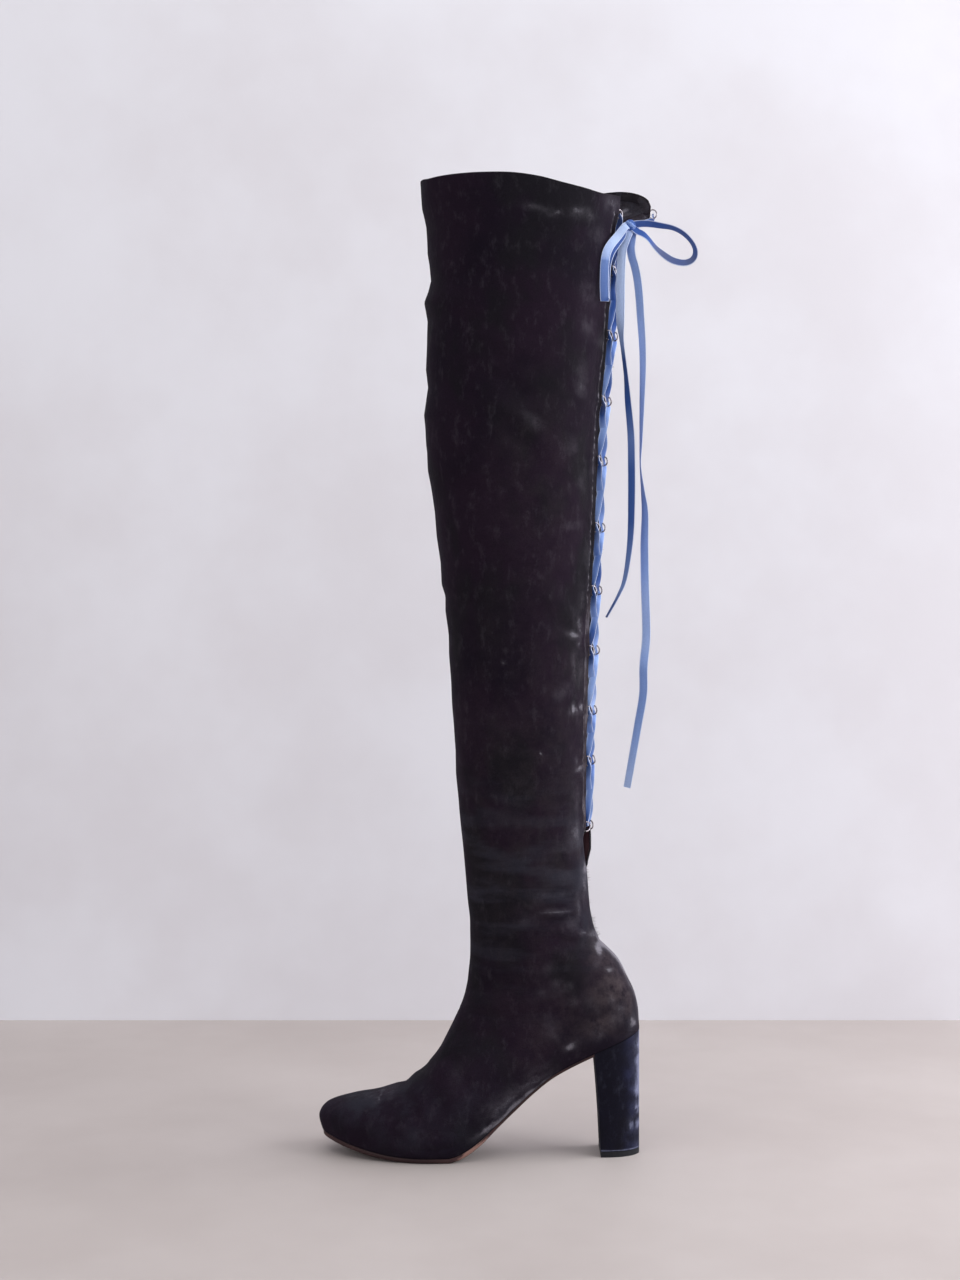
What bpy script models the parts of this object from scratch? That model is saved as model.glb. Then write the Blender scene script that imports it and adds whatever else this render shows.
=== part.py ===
"""Over-the-knee velvet boot, left foot, with a block heel and ribbon lacing down the back.

Metres, +Z up. The toe points to -X, the outer side of the foot faces -Y and the origin is the middle
of the heel tip's face on the floor. The upper is one skin: rings up the leg and slanted sections that
fan round the instep, each worked out from the sizes below.
"""

import math
from collections import namedtuple

import bmesh
import bpy
from mathutils import Vector

# Foot
FOOT_LENGTH = 0.238
BALL_WIDTH = 0.0712
HEEL_RISE = 0.089
TOE_SPRING = 0.0145
ANKLE_RISE = 0.065
HEEL_BACK = 0.0145

# Leg
LEG_HEIGHT = 0.5657
FRONT_FLARE = 0.037
BACK_FLARE = 0.024
THIGH_WIDTH = 0.112
COLLAR_DIP = 0.014

# Skin and soles
WALL = 0.002
GAP = 0.0003
SOLE_THICKNESS = 0.0035
WAIST_THICKNESS = 0.0018
SOLE_EDGE = 0.0012
INSOLE_THICKNESS = 0.0025

# Heel
BREAST_ALONG = 0.145
HEEL_FOOT_DEPTH = 0.0295
HEEL_FOOT_WIDTH = 0.032
HEEL_TIP_THICKNESS = 0.004

# Slit, eyes and ribbon
SLIT_START = 0.098
SLIT_HALF_GAP = 0.0072
OUTER_LIP = 0.004
INNER_LIP = 0.008
TAB_REACH = 0.0196
TAB_SPREAD = 0.005
TAB_CORNER = 0.0115
EYE_LOWEST = 0.1515
EYE_HIGHEST = 0.974
TAB_EYE_RISE = 0.014
EYE_HALF_HEIGHT = 0.0034
EYE_REACH = 0.0026
EYE_PULL = 0.5
WIRE_RADIUS = 0.00055
EYE_CLEARANCE = 0.0006
RIBBON_WIDTH = 0.0066
RIBBON_THICKNESS = 0.0009
KNOT_SIZE = (0.0090, 0.0076, 0.0090)
KNOT_MIDDLE = (0.0073, -0.0076, 0.6910)

SIDE_STEPS = 14
TURN_CROWDING = 0.3

# Lengths in the tables are shares of the sizes above, and "along" is a share of the foot's length
# from the back of the heel.
Bottom = namedtuple("Bottom", "along lift spring")
BOTTOM_LINE = (
    Bottom(0.000, 1.000, 0.00),
    Bottom(0.145, 0.842, 0.00),
    Bottom(0.224, 0.739, 0.00),
    Bottom(0.280, 0.652, 0.00),
    Bottom(0.335, 0.536, 0.00),
    Bottom(0.400, 0.376, 0.00),
    Bottom(0.450, 0.254, 0.00),
    Bottom(0.500, 0.132, 0.00),
    Bottom(0.540, 0.058, 0.00),
    Bottom(0.575, 0.014, 0.00),
    Bottom(0.600, 0.000, 0.00),
    Bottom(0.700, 0.000, 0.00),
    Bottom(0.760, 0.000, 0.05),
    Bottom(0.820, 0.000, 0.17),
    Bottom(0.870, 0.000, 0.32),
    Bottom(0.920, 0.000, 0.54),
    Bottom(0.965, 0.000, 0.80),
    Bottom(1.000, 0.000, 1.00),
)

Outline = namedtuple("Outline", "along half centre")
OUTLINE = (
    Outline(0.000, 0.350, 0.000),
    Outline(0.145, 0.350, 0.000),
    Outline(0.250, 0.334, -0.006),
    Outline(0.350, 0.322, -0.024),
    Outline(0.450, 0.350, -0.030),
    Outline(0.550, 0.424, -0.004),
    Outline(0.620, 0.480, 0.028),
    Outline(0.680, 0.500, 0.048),
    Outline(0.740, 0.482, 0.058),
    Outline(0.820, 0.450, 0.070),
    Outline(0.900, 0.421, 0.082),
    Outline(1.000, 0.394, 0.094),
)
HEEL_ROUND_END = 0.125
TOE_ROUND_START = 0.74

# A slanted section runs from its front point, on the instep, to its back point, down the heel's back
# and then along the bottom line. Front heights take "lift" of the heel's rise and "body" of the
# ankle's, and "bulge" is the widest half width over the half width of the bottom there.
Foot = namedtuple("Foot", "along up front lift body bulge square")
FOOT_SECTIONS = (
    Foot(0.1240, 1.000, 0.5315, 1.00, 1.000, 1.314, 2.2),
    Foot(0.0676, 0.795, 0.5330, 0.95, 0.865, 1.275, 2.3),
    Foot(0.0374, 0.595, 0.5380, 0.85, 0.829, 1.255, 2.4),
    Foot(0.0126, 0.388, 0.5454, 0.72, 0.831, 1.235, 2.5),
    Foot(0.0021, 0.180, 0.5546, 0.60, 0.860, 1.196, 2.6),
    Foot(0.0000, 0.000, 0.5630, 0.52, 0.886, 1.157, 2.6),
    Foot(0.0120, 0.000, 0.5655, 0.49, 0.898, 1.157, 2.6),
    Foot(0.0350, 0.000, 0.5700, 0.46, 0.906, 1.160, 2.6),
    Foot(0.0700, 0.000, 0.5752, 0.43, 0.906, 1.170, 2.6),
    Foot(0.1650, 0.000, 0.5890, 0.36, 0.895, 1.190, 2.5),
    Foot(0.2800, 0.000, 0.6050, 0.28, 0.890, 1.280, 2.4),
    Foot(0.4000, 0.000, 0.6265, 0.20, 0.860, 1.320, 2.3),
    Foot(0.5050, 0.000, 0.6576, 0.12, 0.822, 1.260, 2.3),
    Foot(0.5950, 0.000, 0.6996, 0.05, 0.748, 1.170, 2.3),
    Foot(0.6850, 0.000, 0.7605, 0.00, 0.686, 1.120, 2.3),
    Foot(0.7750, 0.000, 0.8330, 0.00, 0.615, 1.095, 2.3),
    Foot(0.8600, 0.000, 0.9010, 0.00, 0.572, 1.090, 2.4),
    Foot(0.9250, 0.000, 0.9480, 0.00, 0.530, 1.090, 2.4),
    Foot(0.9700, 0.000, 0.9780, 0.00, 0.475, 1.090, 2.4),
    Foot(0.9900, 0.000, 0.9930, 0.00, 0.400, 1.090, 2.4),
    Foot(0.9970, 0.000, 0.9985, 0.00, 0.325, 1.090, 2.4),
    Foot(1.0000, 0.000, 1.0000, 0.00, 0.000, 1.090, 2.4),
)

# A ring of the leg, with "up" a share of the leg's height. "lip" is how far the slit's edges are
# pulled out by the lacing.
Leg = namedtuple("Leg", "up front back girth lip")
LEG_SECTIONS = (
    Leg(0.0000, 0.000, 0.540, 0.00, 0.0),
    Leg(0.0243, 0.000, 0.310, 0.01, 0.0),
    Leg(0.0543, 0.040, 0.190, 0.03, 0.0),
    Leg(0.0980, 0.090, 0.110, 0.07, 0.0),
    Leg(0.1220, 0.120, 0.060, 0.10, 0.3),
    Leg(0.1851, 0.243, 0.000, 0.25, 0.6),
    Leg(0.2910, 0.343, 0.010, 0.43, 0.8),
    Leg(0.3970, 0.424, 0.040, 0.56, 1.0),
    Leg(0.4746, 0.568, 0.125, 0.65, 1.0),
    Leg(0.5810, 0.770, 0.250, 0.70, 1.0),
    Leg(0.6600, 0.930, 0.310, 0.80, 1.0),
    Leg(0.7930, 0.900, 0.600, 0.90, 1.0),
    Leg(0.8995, 0.860, 0.760, 0.96, 1.0),
    Leg(1.0000, 1.000, 1.000, 1.00, 1.0),
)
LEG_SQUARE = 2.15
LIP_START = 0.88
COLLAR_BEND_START = 0.92
TAB_START = 0.938
TAB_FULL = 0.984
TAB_CORNER_START = 0.93
SLIT_OPENING_LENGTH = 0.045

# Rings of the leg, from the top of each zone down to its bottom.
Zone = namedtuple("Zone", "top bottom rings")
LEG_ZONES = (
    Zone(1.000, 0.930, 7),
    Zone(0.930, 0.160, 12),
    Zone(0.160, SLIT_START, 3),
    Zone(SLIT_START, 0.000, 4),
)

# How far the collar lies below its highest point, as shares of its dip, from the front, 0, to the
# back, 1. The inner flap's corner stays high.
Collar = namedtuple("Collar", "across outer inner")
COLLAR = (
    Collar(0.00, 0.02, 0.02),
    Collar(0.05, 0.16, 0.16),
    Collar(0.20, 0.17, 0.17),
    Collar(0.43, 0.22, 0.22),
    Collar(0.58, 0.38, 0.25),
    Collar(0.72, 0.68, 0.25),
    Collar(0.82, 0.86, 0.25),
    Collar(0.93, 1.00, 0.25),
    Collar(1.00, 0.86, 0.25),
)

# The eyes are sewn on by hand, so their spacing is uneven. Shares of the laced length.
EYE_STEPS = (0.0, 0.105, 0.185, 0.282, 0.378, 0.479, 0.586, 0.682, 0.787, 0.890, 1.0)

Heel = namedtuple("Heel", "up depth width")
HEEL_SECTIONS = (
    Heel(0.0, 0.00, 0.00),
    Heel(0.3, 0.22, 0.10),
    Heel(0.6, 0.52, 0.32),
    Heel(0.85, 0.82, 0.68),
    Heel(1.0, 1.00, 1.00),
)

# Routes of the bow's loops and of the ribbon's ends, points chosen by hand. Each row is x, y, z and
# the turn of the ribbon's face about its run, in degrees, where 0 faces the outer side.
LOOP_BACK_ROUTE = (
    (0.0124, -0.0070, 0.6922, 68),
    (0.0203, -0.0074, 0.6923, 66),
    (0.0296, -0.0082, 0.6908, 66),
    (0.0388, -0.0090, 0.6889, 68),
    (0.0463, -0.0098, 0.6849, 70),
    (0.0524, -0.0104, 0.6787, 72),
    (0.0553, -0.0106, 0.6725, 66),
    (0.0548, -0.0106, 0.6672, 50),
    (0.0516, -0.0105, 0.6638, 38),
    (0.0463, -0.0103, 0.6627, 32),
    (0.0388, -0.0099, 0.6645, 30),
    (0.0321, -0.0094, 0.6688, 34),
    (0.0259, -0.0089, 0.6744, 50),
    (0.0210, -0.0084, 0.6806, 62),
    (0.0167, -0.0079, 0.6845, 56),
    (0.0127, -0.0076, 0.6865, 56),
)
LOOP_FRONT_ROUTE = (
    (0.0034, -0.0118, 0.6896, 24),
    (-0.0024, -0.0176, 0.6816, 14),
    (-0.0080, -0.0232, 0.6742, 6),
    (-0.0113, -0.0264, 0.6677, 2),
    (-0.0127, -0.0280, 0.6600, 0),
    (-0.0131, -0.0290, 0.6526, 0),
    (-0.0133, -0.0294, 0.6447, 0),
    (-0.0131, -0.0292, 0.6372, 0),
    (-0.0129, -0.0283, 0.6330, 0),
    (-0.0126, -0.0267, 0.6330, 0),
    (-0.0122, -0.0265, 0.6375, 0),
    (-0.0121, -0.0268, 0.6450, 0),
    (-0.0118, -0.0262, 0.6530, 0),
    (-0.0108, -0.0248, 0.6610, 0),
    (-0.0080, -0.0218, 0.6690, 4),
    (-0.0036, -0.0174, 0.6760, 10),
    (0.0006, -0.0136, 0.6826, 12),
    (0.0018, -0.0116, 0.6872, 14),
)
END_SHORT_ROUTE = (
    (0.0062, -0.0084, 0.6860, 6),
    (0.0034, -0.0096, 0.6790, 14),
    (0.0012, -0.0108, 0.6720, 24),
    (0.0002, -0.0114, 0.6605, 28),
    (-0.0002, -0.0120, 0.6483, 30),
    (-0.0003, -0.0126, 0.6360, 32),
    (-0.0004, -0.0132, 0.6200, 36),
    (0.0006, -0.0138, 0.6048, 66),
    (0.0036, -0.0142, 0.5796, 66),
    (0.0052, -0.0146, 0.5589, 48),
    (0.0073, -0.0148, 0.5352, 40),
    (0.0078, -0.0150, 0.5115, 36),
    (0.0078, -0.0152, 0.4882, 38),
    (0.0073, -0.0154, 0.4649, 46),
    (0.0058, -0.0158, 0.4472, 56),
    (0.0025, -0.0162, 0.4272, 66),
    (-0.0023, -0.0168, 0.4154, 74),
    (-0.0110, -0.0176, 0.3996, 80),
)
END_LONG_ROUTE = (
    (0.0088, -0.0060, 0.6860, 10),
    (0.0082, -0.0070, 0.6790, 18),
    (0.0078, -0.0078, 0.6738, 24),
    (0.0086, -0.0088, 0.6671, 28),
    (0.0105, -0.0096, 0.6604, 30),
    (0.0124, -0.0102, 0.6508, 30),
    (0.0138, -0.0104, 0.6381, 32),
    (0.0148, -0.0104, 0.6233, 36),
    (0.0162, -0.0104, 0.6017, 44),
    (0.0165, -0.0104, 0.5832, 50),
    (0.0159, -0.0104, 0.5594, 60),
    (0.0151, -0.0104, 0.5297, 76),
    (0.0147, -0.0104, 0.5119, 86),
    (0.0165, -0.0104, 0.4933, 70),
    (0.0181, -0.0104, 0.4770, 46),
    (0.0177, -0.0104, 0.4532, 30),
    (0.0181, -0.0104, 0.4235, 24),
    (0.0189, -0.0104, 0.3990, 24),
    (0.0189, -0.0104, 0.3826, 22),
    (0.0170, -0.0104, 0.3626, 22),
    (0.0167, -0.0104, 0.3425, 26),
    (0.0129, -0.0104, 0.3195, 32),
    (0.0089, -0.0104, 0.2965, 36),
    (0.0048, -0.0104, 0.2731, 40),
)
RIBBON_STEP = 0.007
STATION_MARGIN = 0.004
SLOPE_STEP = 0.004
SKIN_SPLIT = 2
FINE_FOOT_ROWS = (5, 17)
SOLE_THINNING = (0.40, 0.58)
SOLE_LEVEL_START = 0.60
SOLE_EDGE_SHARE = 0.4
EDGE_TURN = 0.985
EYE_ROOT_SHARE = 0.6
SEAT_STEPS = 10
HEEL_STEPS = 8
EYE_STEPS_ROUND = 4
LACE_HUB = 0.002
LACE_STEPS = 3

# Colours and finishes, as red, green, blue, roughness and metallic.
FINISHES = {
    "velvet": ((0.012, 0.010, 0.014), 0.9, 0.0),
    "heel_velvet": ((0.012, 0.012, 0.020), 0.85, 0.0),
    "sole_leather": ((0.090, 0.040, 0.035), 0.55, 0.0),
    "insole_leather": ((0.160, 0.085, 0.060), 0.6, 0.0),
    "tip_rubber": ((0.012, 0.012, 0.013), 0.6, 0.0),
    "wire": ((0.180, 0.170, 0.165), 0.35, 1.0),
    "ribbon": ((0.130, 0.240, 0.620), 0.7, 0.0),
}

Section = namedtuple("Section", "front back half end square centre lips spread collar_bend")


def smooth(table, column, at, key="along"):
    """The column's value at that key, on a curve through the table's rows that never overshoots."""
    xs = [getattr(row, key) for row in table]
    ys = [getattr(row, column) for row in table]
    at = min(max(at, xs[0]), xs[-1])
    slopes = [(ys[i + 1] - ys[i]) / (xs[i + 1] - xs[i]) for i in range(len(xs) - 1)]
    tangents = [slopes[0]]
    for before, after in zip(slopes, slopes[1:]):
        tangents.append(2 * before * after / (before + after) if before * after > 0 else 0.0)
    tangents.append(slopes[-1])
    i = max(k for k in range(len(xs) - 1) if xs[k] <= at)
    span = xs[i + 1] - xs[i]
    t = (at - xs[i]) / span
    return (
        ys[i] * (1 + 2 * t) * (1 - t) ** 2
        + ys[i + 1] * t * t * (3 - 2 * t)
        + tangents[i] * span * t * (1 - t) ** 2
        - tangents[i + 1] * span * t * t * (1 - t)
    )


def ease(at, low, high):
    """Rises smoothly from 0 at low to 1 at high."""
    t = min(max((at - low) / (high - low), 0.0), 1.0)
    return t * t * (3 - 2 * t)


def floor_x(along):
    return HEEL_BACK - along * FOOT_LENGTH


def bottom_z(along):
    """Height of the upper's bottom edge. The sole lies below it, with a gap."""
    lift = smooth(BOTTOM_LINE, "lift", along)
    spring = smooth(BOTTOM_LINE, "spring", along)
    return SOLE_THICKNESS + GAP + lift * HEEL_RISE + spring * TOE_SPRING


def bottom_slope(along):
    low, high = max(along - SLOPE_STEP, 0.0), min(along + SLOPE_STEP, 1.0)
    return (bottom_z(high) - bottom_z(low)) / ((high - low) * FOOT_LENGTH)


def toe_round(along):
    share = max(along - TOE_ROUND_START, 0.0) / (1 - TOE_ROUND_START)
    return math.sqrt(max(1 - share * share, 0.0))


def heel_round(along):
    share = min(along / HEEL_ROUND_END, 1.0)
    return math.sqrt(max(1 - (1 - share) ** 2, 0.0))


def body_half(along):
    """Half width of the foot's bottom before the heel's end is rounded."""
    return smooth(OUTLINE, "half", along) * BALL_WIDTH * toe_round(along)


def bottom_half(along):
    return body_half(along) * heel_round(along)


def centre_y(along):
    return smooth(OUTLINE, "centre", along) * BALL_WIDTH


def foot_section(row):
    """The section at a row number of FOOT_SECTIONS, which may lie between two rows."""
    numbered = [FootAt(i, *values) for i, values in enumerate(FOOT_SECTIONS)]
    along, up, front, lift, body, bulge, square = (
        smooth(numbered, column, row, key="row") for column in Foot._fields
    )
    top = SOLE_THICKNESS + GAP + lift * HEEL_RISE + body * ANKLE_RISE
    if along >= 1.0:
        top = bottom_z(1.0)
    back = Vector((floor_x(along), centre_y(along), bottom_z(along)))
    if up > 0:
        back.z = bottom_z(0.0) + up * ANKLE_RISE
    return Section(
        front=Vector((floor_x(front), centre_y(along), top)),
        back=back,
        half=body_half(along) * bulge,
        end=bottom_half(along) if up == 0 else 0.0,
        square=square,
        centre=centre_y(along),
        lips=(0.0, 0.0),
        spread=0.0,
        collar_bend=0.0,
    )


FootAt = namedtuple("FootAt", ("row", *Foot._fields))
ANKLE = foot_section(0)


def leg_section(up):
    """The level ring at that share of the leg's height."""
    front, back, girth, lip = (
        smooth(LEG_SECTIONS, column, up, key="up") for column in Leg._fields[1:]
    )
    z = ANKLE.front.z + up * LEG_HEIGHT
    narrowest = ANKLE.back.x - LEG_SECTIONS[0].back * BACK_FLARE
    open_share = ease(up, SLIT_START, SLIT_START + SLIT_OPENING_LENGTH)
    tab = ease(up, TAB_START, TAB_FULL)
    return Section(
        front=Vector((ANKLE.front.x - front * FRONT_FLARE, 0, z)),
        back=Vector((narrowest + back * BACK_FLARE, 0, z)),
        half=ANKLE.half + girth * (THIGH_WIDTH / 2 - ANKLE.half),
        end=SLIT_HALF_GAP * open_share,
        square=LEG_SQUARE,
        centre=0.0,
        lips=(lip * OUTER_LIP, lip * INNER_LIP + tab * TAB_REACH),
        spread=tab * TAB_SPREAD,
        collar_bend=ease(up, COLLAR_BEND_START, 1.0),
    )


def collar_drop(across, side, turn):
    """How far the collar lies below its highest point, from the front, 0, to the back, 1."""
    drop = COLLAR_DIP * smooth(COLLAR, "outer" if side < 0 else "inner", across, key="across")
    if side > 0:
        corner = max(turn - TAB_CORNER_START, 0.0) / (1 - TAB_CORNER_START)
        drop += TAB_CORNER * (1 - math.sqrt(1 - corner * corner))
    return drop


def superellipse(angle, square):
    """Cosine and sine of a superellipse, whose corners fill out as square rises above 2."""
    c, s = math.cos(angle), max(math.sin(angle), 0.0)
    return math.copysign(abs(c) ** (2 / square), c), s ** (2 / square)


def section_point(section, side, turn):
    """A point of the skin: turn runs from 0 at the front to 1 at the back seam, slit or sole."""
    end_share = min(section.end / section.half, 1.0) if section.half > 0 else 1.0
    last = math.pi - math.asin(end_share ** (section.square / 2))
    c_last, _ = superellipse(last, section.square)
    c, s = superellipse(turn * last, section.square)
    across = (1 - c) / (1 - c_last)
    point = section.front.lerp(section.back, across)
    point.y = section.centre + side * section.half * s
    pulled = 2 * ease(turn, LIP_START, 2 - LIP_START)
    point.x += section.lips[0 if side < 0 else 1] * pulled
    if side > 0:
        point.y += section.spread * pulled
    point.z -= section.collar_bend * collar_drop(across, side, turn)
    return point


def side_turns():
    """Turns of one side's points, closer together towards the slit and the sole."""
    shares = [i / SIDE_STEPS for i in range(SIDE_STEPS + 1)]
    return [share * (1 + TURN_CROWDING * (1 - share * share)) for share in shares]


def upper_rows():
    leg = []
    for zone in LEG_ZONES:
        for i in range(zone.rings):
            leg.append(leg_section(zone.top + (zone.bottom - zone.top) * i / zone.rings))
    low, high = FINE_FOOT_ROWS
    numbers = [i / SKIN_SPLIT for i in range((len(FOOT_SECTIONS) - 1) * SKIN_SPLIT + 1)]
    kept = [number for number in numbers if number.is_integer() or low < number < high]
    return leg + [foot_section(number) for number in kept]


def material(name):
    """A plain material with that finish."""
    colour, roughness, metallic = FINISHES[name]
    made = bpy.data.materials.new(name)
    made.use_nodes = True
    made.diffuse_color = (*colour, 1)
    shader = made.node_tree.nodes["Principled BSDF"]
    shader.inputs["Base Color"].default_value = (*colour, 1)
    shader.inputs["Roughness"].default_value = roughness
    shader.inputs["Metallic"].default_value = metallic
    return made


def add_object(name, data, finish):
    made = bpy.data.objects.new(name, data)
    bpy.context.scene.collection.objects.link(made)
    data.materials.append(MATERIALS[finish])
    return made


def add_mesh(name, mesh, finish):
    """An object from a bmesh, welded, facing out and smooth."""
    bmesh.ops.remove_doubles(mesh, verts=mesh.verts, dist=1e-6)
    bmesh.ops.recalc_face_normals(mesh, faces=mesh.faces)
    data = bpy.data.meshes.new(name)
    mesh.to_mesh(data)
    mesh.free()
    data.shade_smooth()
    data.set_sharp_from_angle(angle=math.radians(40))
    return add_object(name, data, finish)


def upper():
    """The skin from its sections, one open surface, with its wall added by Solidify."""
    mesh = bmesh.new()
    rows = []
    for section in upper_rows():
        turns = [(-1, turn) for turn in side_turns()[:0:-1]]
        turns += [(1, turn) for turn in side_turns()]
        rows.append([mesh.verts.new(section_point(section, *turn)) for turn in turns])
    for above, below in zip(rows, rows[1:]):
        for i in range(2 * SIDE_STEPS):
            mesh.faces.new((above[i], below[i], below[i + 1], above[i + 1]))
    made = add_mesh("upper", mesh, "velvet")
    wall = made.modifiers.new("wall", "SOLIDIFY")
    wall.thickness = WALL
    wall.offset = -1
    return made


def loft(mesh, rings, cap_start=True, cap_end=True):
    """Closed rings of points joined in order, with flat ends."""
    made = [[mesh.verts.new(point) for point in ring] for ring in rings]
    count = len(made[0])
    for one, two in zip(made, made[1:]):
        for i in range(count):
            j = (i + 1) % count
            mesh.faces.new((one[i], one[j], two[j], two[i]))
    if cap_start:
        mesh.faces.new(made[0][::-1])
    if cap_end:
        mesh.faces.new(made[-1])
    return made


def sole_alongs(start, end):
    """Stations along a sole between two ends, where the upper's sections meet it."""
    seated = [section for section in upper_rows() if section.back.z <= bottom_z(0.0)]
    meets = [(HEEL_BACK - section.back.x) / FOOT_LENGTH for section in seated]
    inner = [along for along in meets if start + STATION_MARGIN < along < end - STATION_MARGIN]
    return [start, *sorted(inner), end]


def sole_thickness(along):
    """The sole thins from the ball back to the waist."""
    share = ease(along, *SOLE_THINNING)
    return WAIST_THICKNESS + (SOLE_THICKNESS - WAIST_THICKNESS) * share


def outsole():
    """Leather sole from the toe to the heel's breast, with its lower edge taken off."""
    mesh = bmesh.new()
    rings = []
    for along in sole_alongs(BREAST_ALONG + GAP / FOOT_LENGTH, 1.0):
        top = bottom_z(along) - GAP
        slant = math.hypot(1, bottom_slope(along))
        low = top - sole_thickness(along) * (slant if along < SOLE_LEVEL_START else 1)
        half = bottom_half(along)
        tread = max(half - SOLE_EDGE, 0.0)
        mid = low + (top - low) * SOLE_EDGE_SHARE
        x, y = floor_x(along), centre_y(along)
        rings.append([
            Vector((x, y - half, top)),
            Vector((x, y - half, mid)),
            Vector((x, y - tread, low)),
            Vector((x, y + tread, low)),
            Vector((x, y + half, mid)),
            Vector((x, y + half, top)),
        ])
    loft(mesh, rings)
    return add_mesh("outsole", clean(mesh), "sole_leather")


def clean(mesh):
    """Takes out the faces that a pointed end leaves without area."""
    bmesh.ops.remove_doubles(mesh, verts=mesh.verts, dist=1e-6)
    bmesh.ops.dissolve_degenerate(mesh, edges=mesh.edges, dist=1e-6)
    return mesh


def insole():
    """Insole board inside the wall, lying on the outsole and the heel."""
    mesh = bmesh.new()
    inset = WALL + 2 * GAP
    ends = inset / FOOT_LENGTH
    rings = []
    for along in sole_alongs(ends, 1 - 2 * ends):
        share = (along - ends) / (1 - 3 * ends)
        half = max(bottom_half(share) - inset, 0.0)
        low = bottom_z(along)
        top = low + INSOLE_THICKNESS
        x, y = floor_x(along), centre_y(along)
        rings.append([
            Vector((x, y - half, low)),
            Vector((x, y + half, low)),
            Vector((x, y + half, top)),
            Vector((x, y - half, top)),
        ])
    loft(mesh, rings)
    return add_mesh("insole", clean(mesh), "insole_leather")


def seat_outline():
    """The heel seat from the breast round the back, as shares of its depth and half width."""
    side = []
    for i in range(SEAT_STEPS + 1):
        share = 1 - math.cos(math.pi / 2 * i / SEAT_STEPS)
        side.append((share, bottom_half(share * BREAST_ALONG) / bottom_half(BREAST_ALONG)))
    outer = [(depth, -width) for depth, width in side[:0:-1]]
    return side + [(1.0, 0.0)] + outer


def heel_ring(depth_share, width_share, height):
    """One level of the heel. height gives the z of a point at that share of the seat's depth."""
    depth = HEEL_FOOT_DEPTH + depth_share * (BREAST_ALONG * FOOT_LENGTH - HEEL_FOOT_DEPTH)
    seat_half = bottom_half(BREAST_ALONG)
    half = HEEL_FOOT_WIDTH / 2 + width_share * (seat_half - HEEL_FOOT_WIDTH / 2)
    return [
        Vector((HEEL_BACK - share * depth, width * half, height(share)))
        for share, width in seat_outline()
    ]


def heel():
    """Covered block from its tip up to the slanted seat."""
    foot_z = HEEL_TIP_THICKNESS + GAP
    mesh = bmesh.new()
    rings = []
    for i in range(HEEL_STEPS + 1):
        up = i / HEEL_STEPS
        depth = smooth(HEEL_SECTIONS, "depth", up, key="up")
        width = smooth(HEEL_SECTIONS, "width", up, key="up")

        def height(share, up=up):
            seat = bottom_z(share * BREAST_ALONG) - GAP
            return foot_z + up * (seat - foot_z)

        rings.append(heel_ring(depth, width, height))
    made = loft(mesh, rings, cap_end=False)
    top = made[-1]
    count = len(top)
    middle = count // 2
    ridge = [mesh.verts.new((v.co.x, 0, v.co.z)) for v in top[1:middle - 1]]
    fan_seat(mesh, top, ridge)
    return add_mesh("heel", mesh, "heel_velvet")


def fan_seat(mesh, top, ridge):
    """Closes the seat with strips from each side to a middle line, so that it follows the sole."""
    count = len(top)
    middle = count // 2
    back = top[0]
    inner = top[1:middle]
    outer = top[:middle:-1]
    line = [back, *ridge, top[middle]]
    for i in range(len(inner)):
        mesh.faces.new(unique(line[i], line[i + 1], inner[i], previous(inner, i, back)))
        mesh.faces.new(unique(line[i + 1], line[i], previous(outer, i, back), outer[i]))


def previous(verts, i, first):
    return verts[i - 1] if i else first


def unique(*verts):
    kept = []
    for vert in verts:
        if vert not in kept:
            kept.append(vert)
    return kept


def heel_tip():
    """Rubber tip under the heel, flat on the floor."""
    mesh = bmesh.new()
    rings = [heel_ring(0, 0, lambda share, z=z: z) for z in (0.0, HEEL_TIP_THICKNESS)]
    loft(mesh, rings)
    return add_mesh("heel_tip", mesh, "tip_rubber")


def eye_up(number, side):
    """An eye's share of the leg's height. The inner flap's top eye sits at the tab's end."""
    up = EYE_LOWEST + EYE_STEPS[number] * (EYE_HIGHEST - EYE_LOWEST)
    on_tab = side > 0 and number == len(EYE_STEPS) - 1
    return up + TAB_EYE_RISE if on_tab else up


def slit_edge(up, side):
    """Middle of the wall at the slit's edge and the way out of it."""
    section = leg_section(up)
    at = section_point(section, side, 1.0)
    out = at - section_point(section, side, EDGE_TURN)
    out = Vector((out.x, out.y, 0)).normalized()
    normal = Vector((-out.y, out.x, 0)) * side
    return at - normal * WALL / 2, out


def eye_seat(number, side):
    """Where an eye leaves the flap's edge, and its way out, which the ribbon pulls to the back."""
    at, out = slit_edge(eye_up(number, side), side)
    return at, (out + Vector((EYE_PULL, 0, 0))).normalized()


def eye_middle(number, side):
    at, out = eye_seat(number, side)
    return at + out * (GAP + EYE_REACH)


def eye(number, side):
    """A wire eye standing out of the slit's edge, with both of its feet at the edge."""
    at, out = eye_seat(number, side)
    start = out * (GAP + WIRE_RADIUS * EYE_ROOT_SHARE)
    path = [eye_foot(number, side, -1) + start]
    for i in range(EYE_STEPS_ROUND + 1):
        angle = math.pi * i / EYE_STEPS_ROUND - math.pi / 2
        reach = EYE_REACH + EYE_HALF_HEIGHT * math.cos(angle)
        path.append(at + out * reach + Vector((0, 0, EYE_HALF_HEIGHT * math.sin(angle))))
    path.append(eye_foot(number, side, 1) + start)
    name = f"eye_{'outer' if side < 0 else 'inner'}_{number + 1:02d}"
    data = bpy.data.curves.new(name, "CURVE")
    data.dimensions = "3D"
    data.bevel_depth = WIRE_RADIUS
    data.bevel_resolution = 1
    data.use_fill_caps = True
    spline = data.splines.new("POLY")
    spline.points.add(len(path) - 1)
    for point, place in zip(spline.points, path):
        point.co = (*place, 1)
    return add_object(name, data, "wire")


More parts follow.
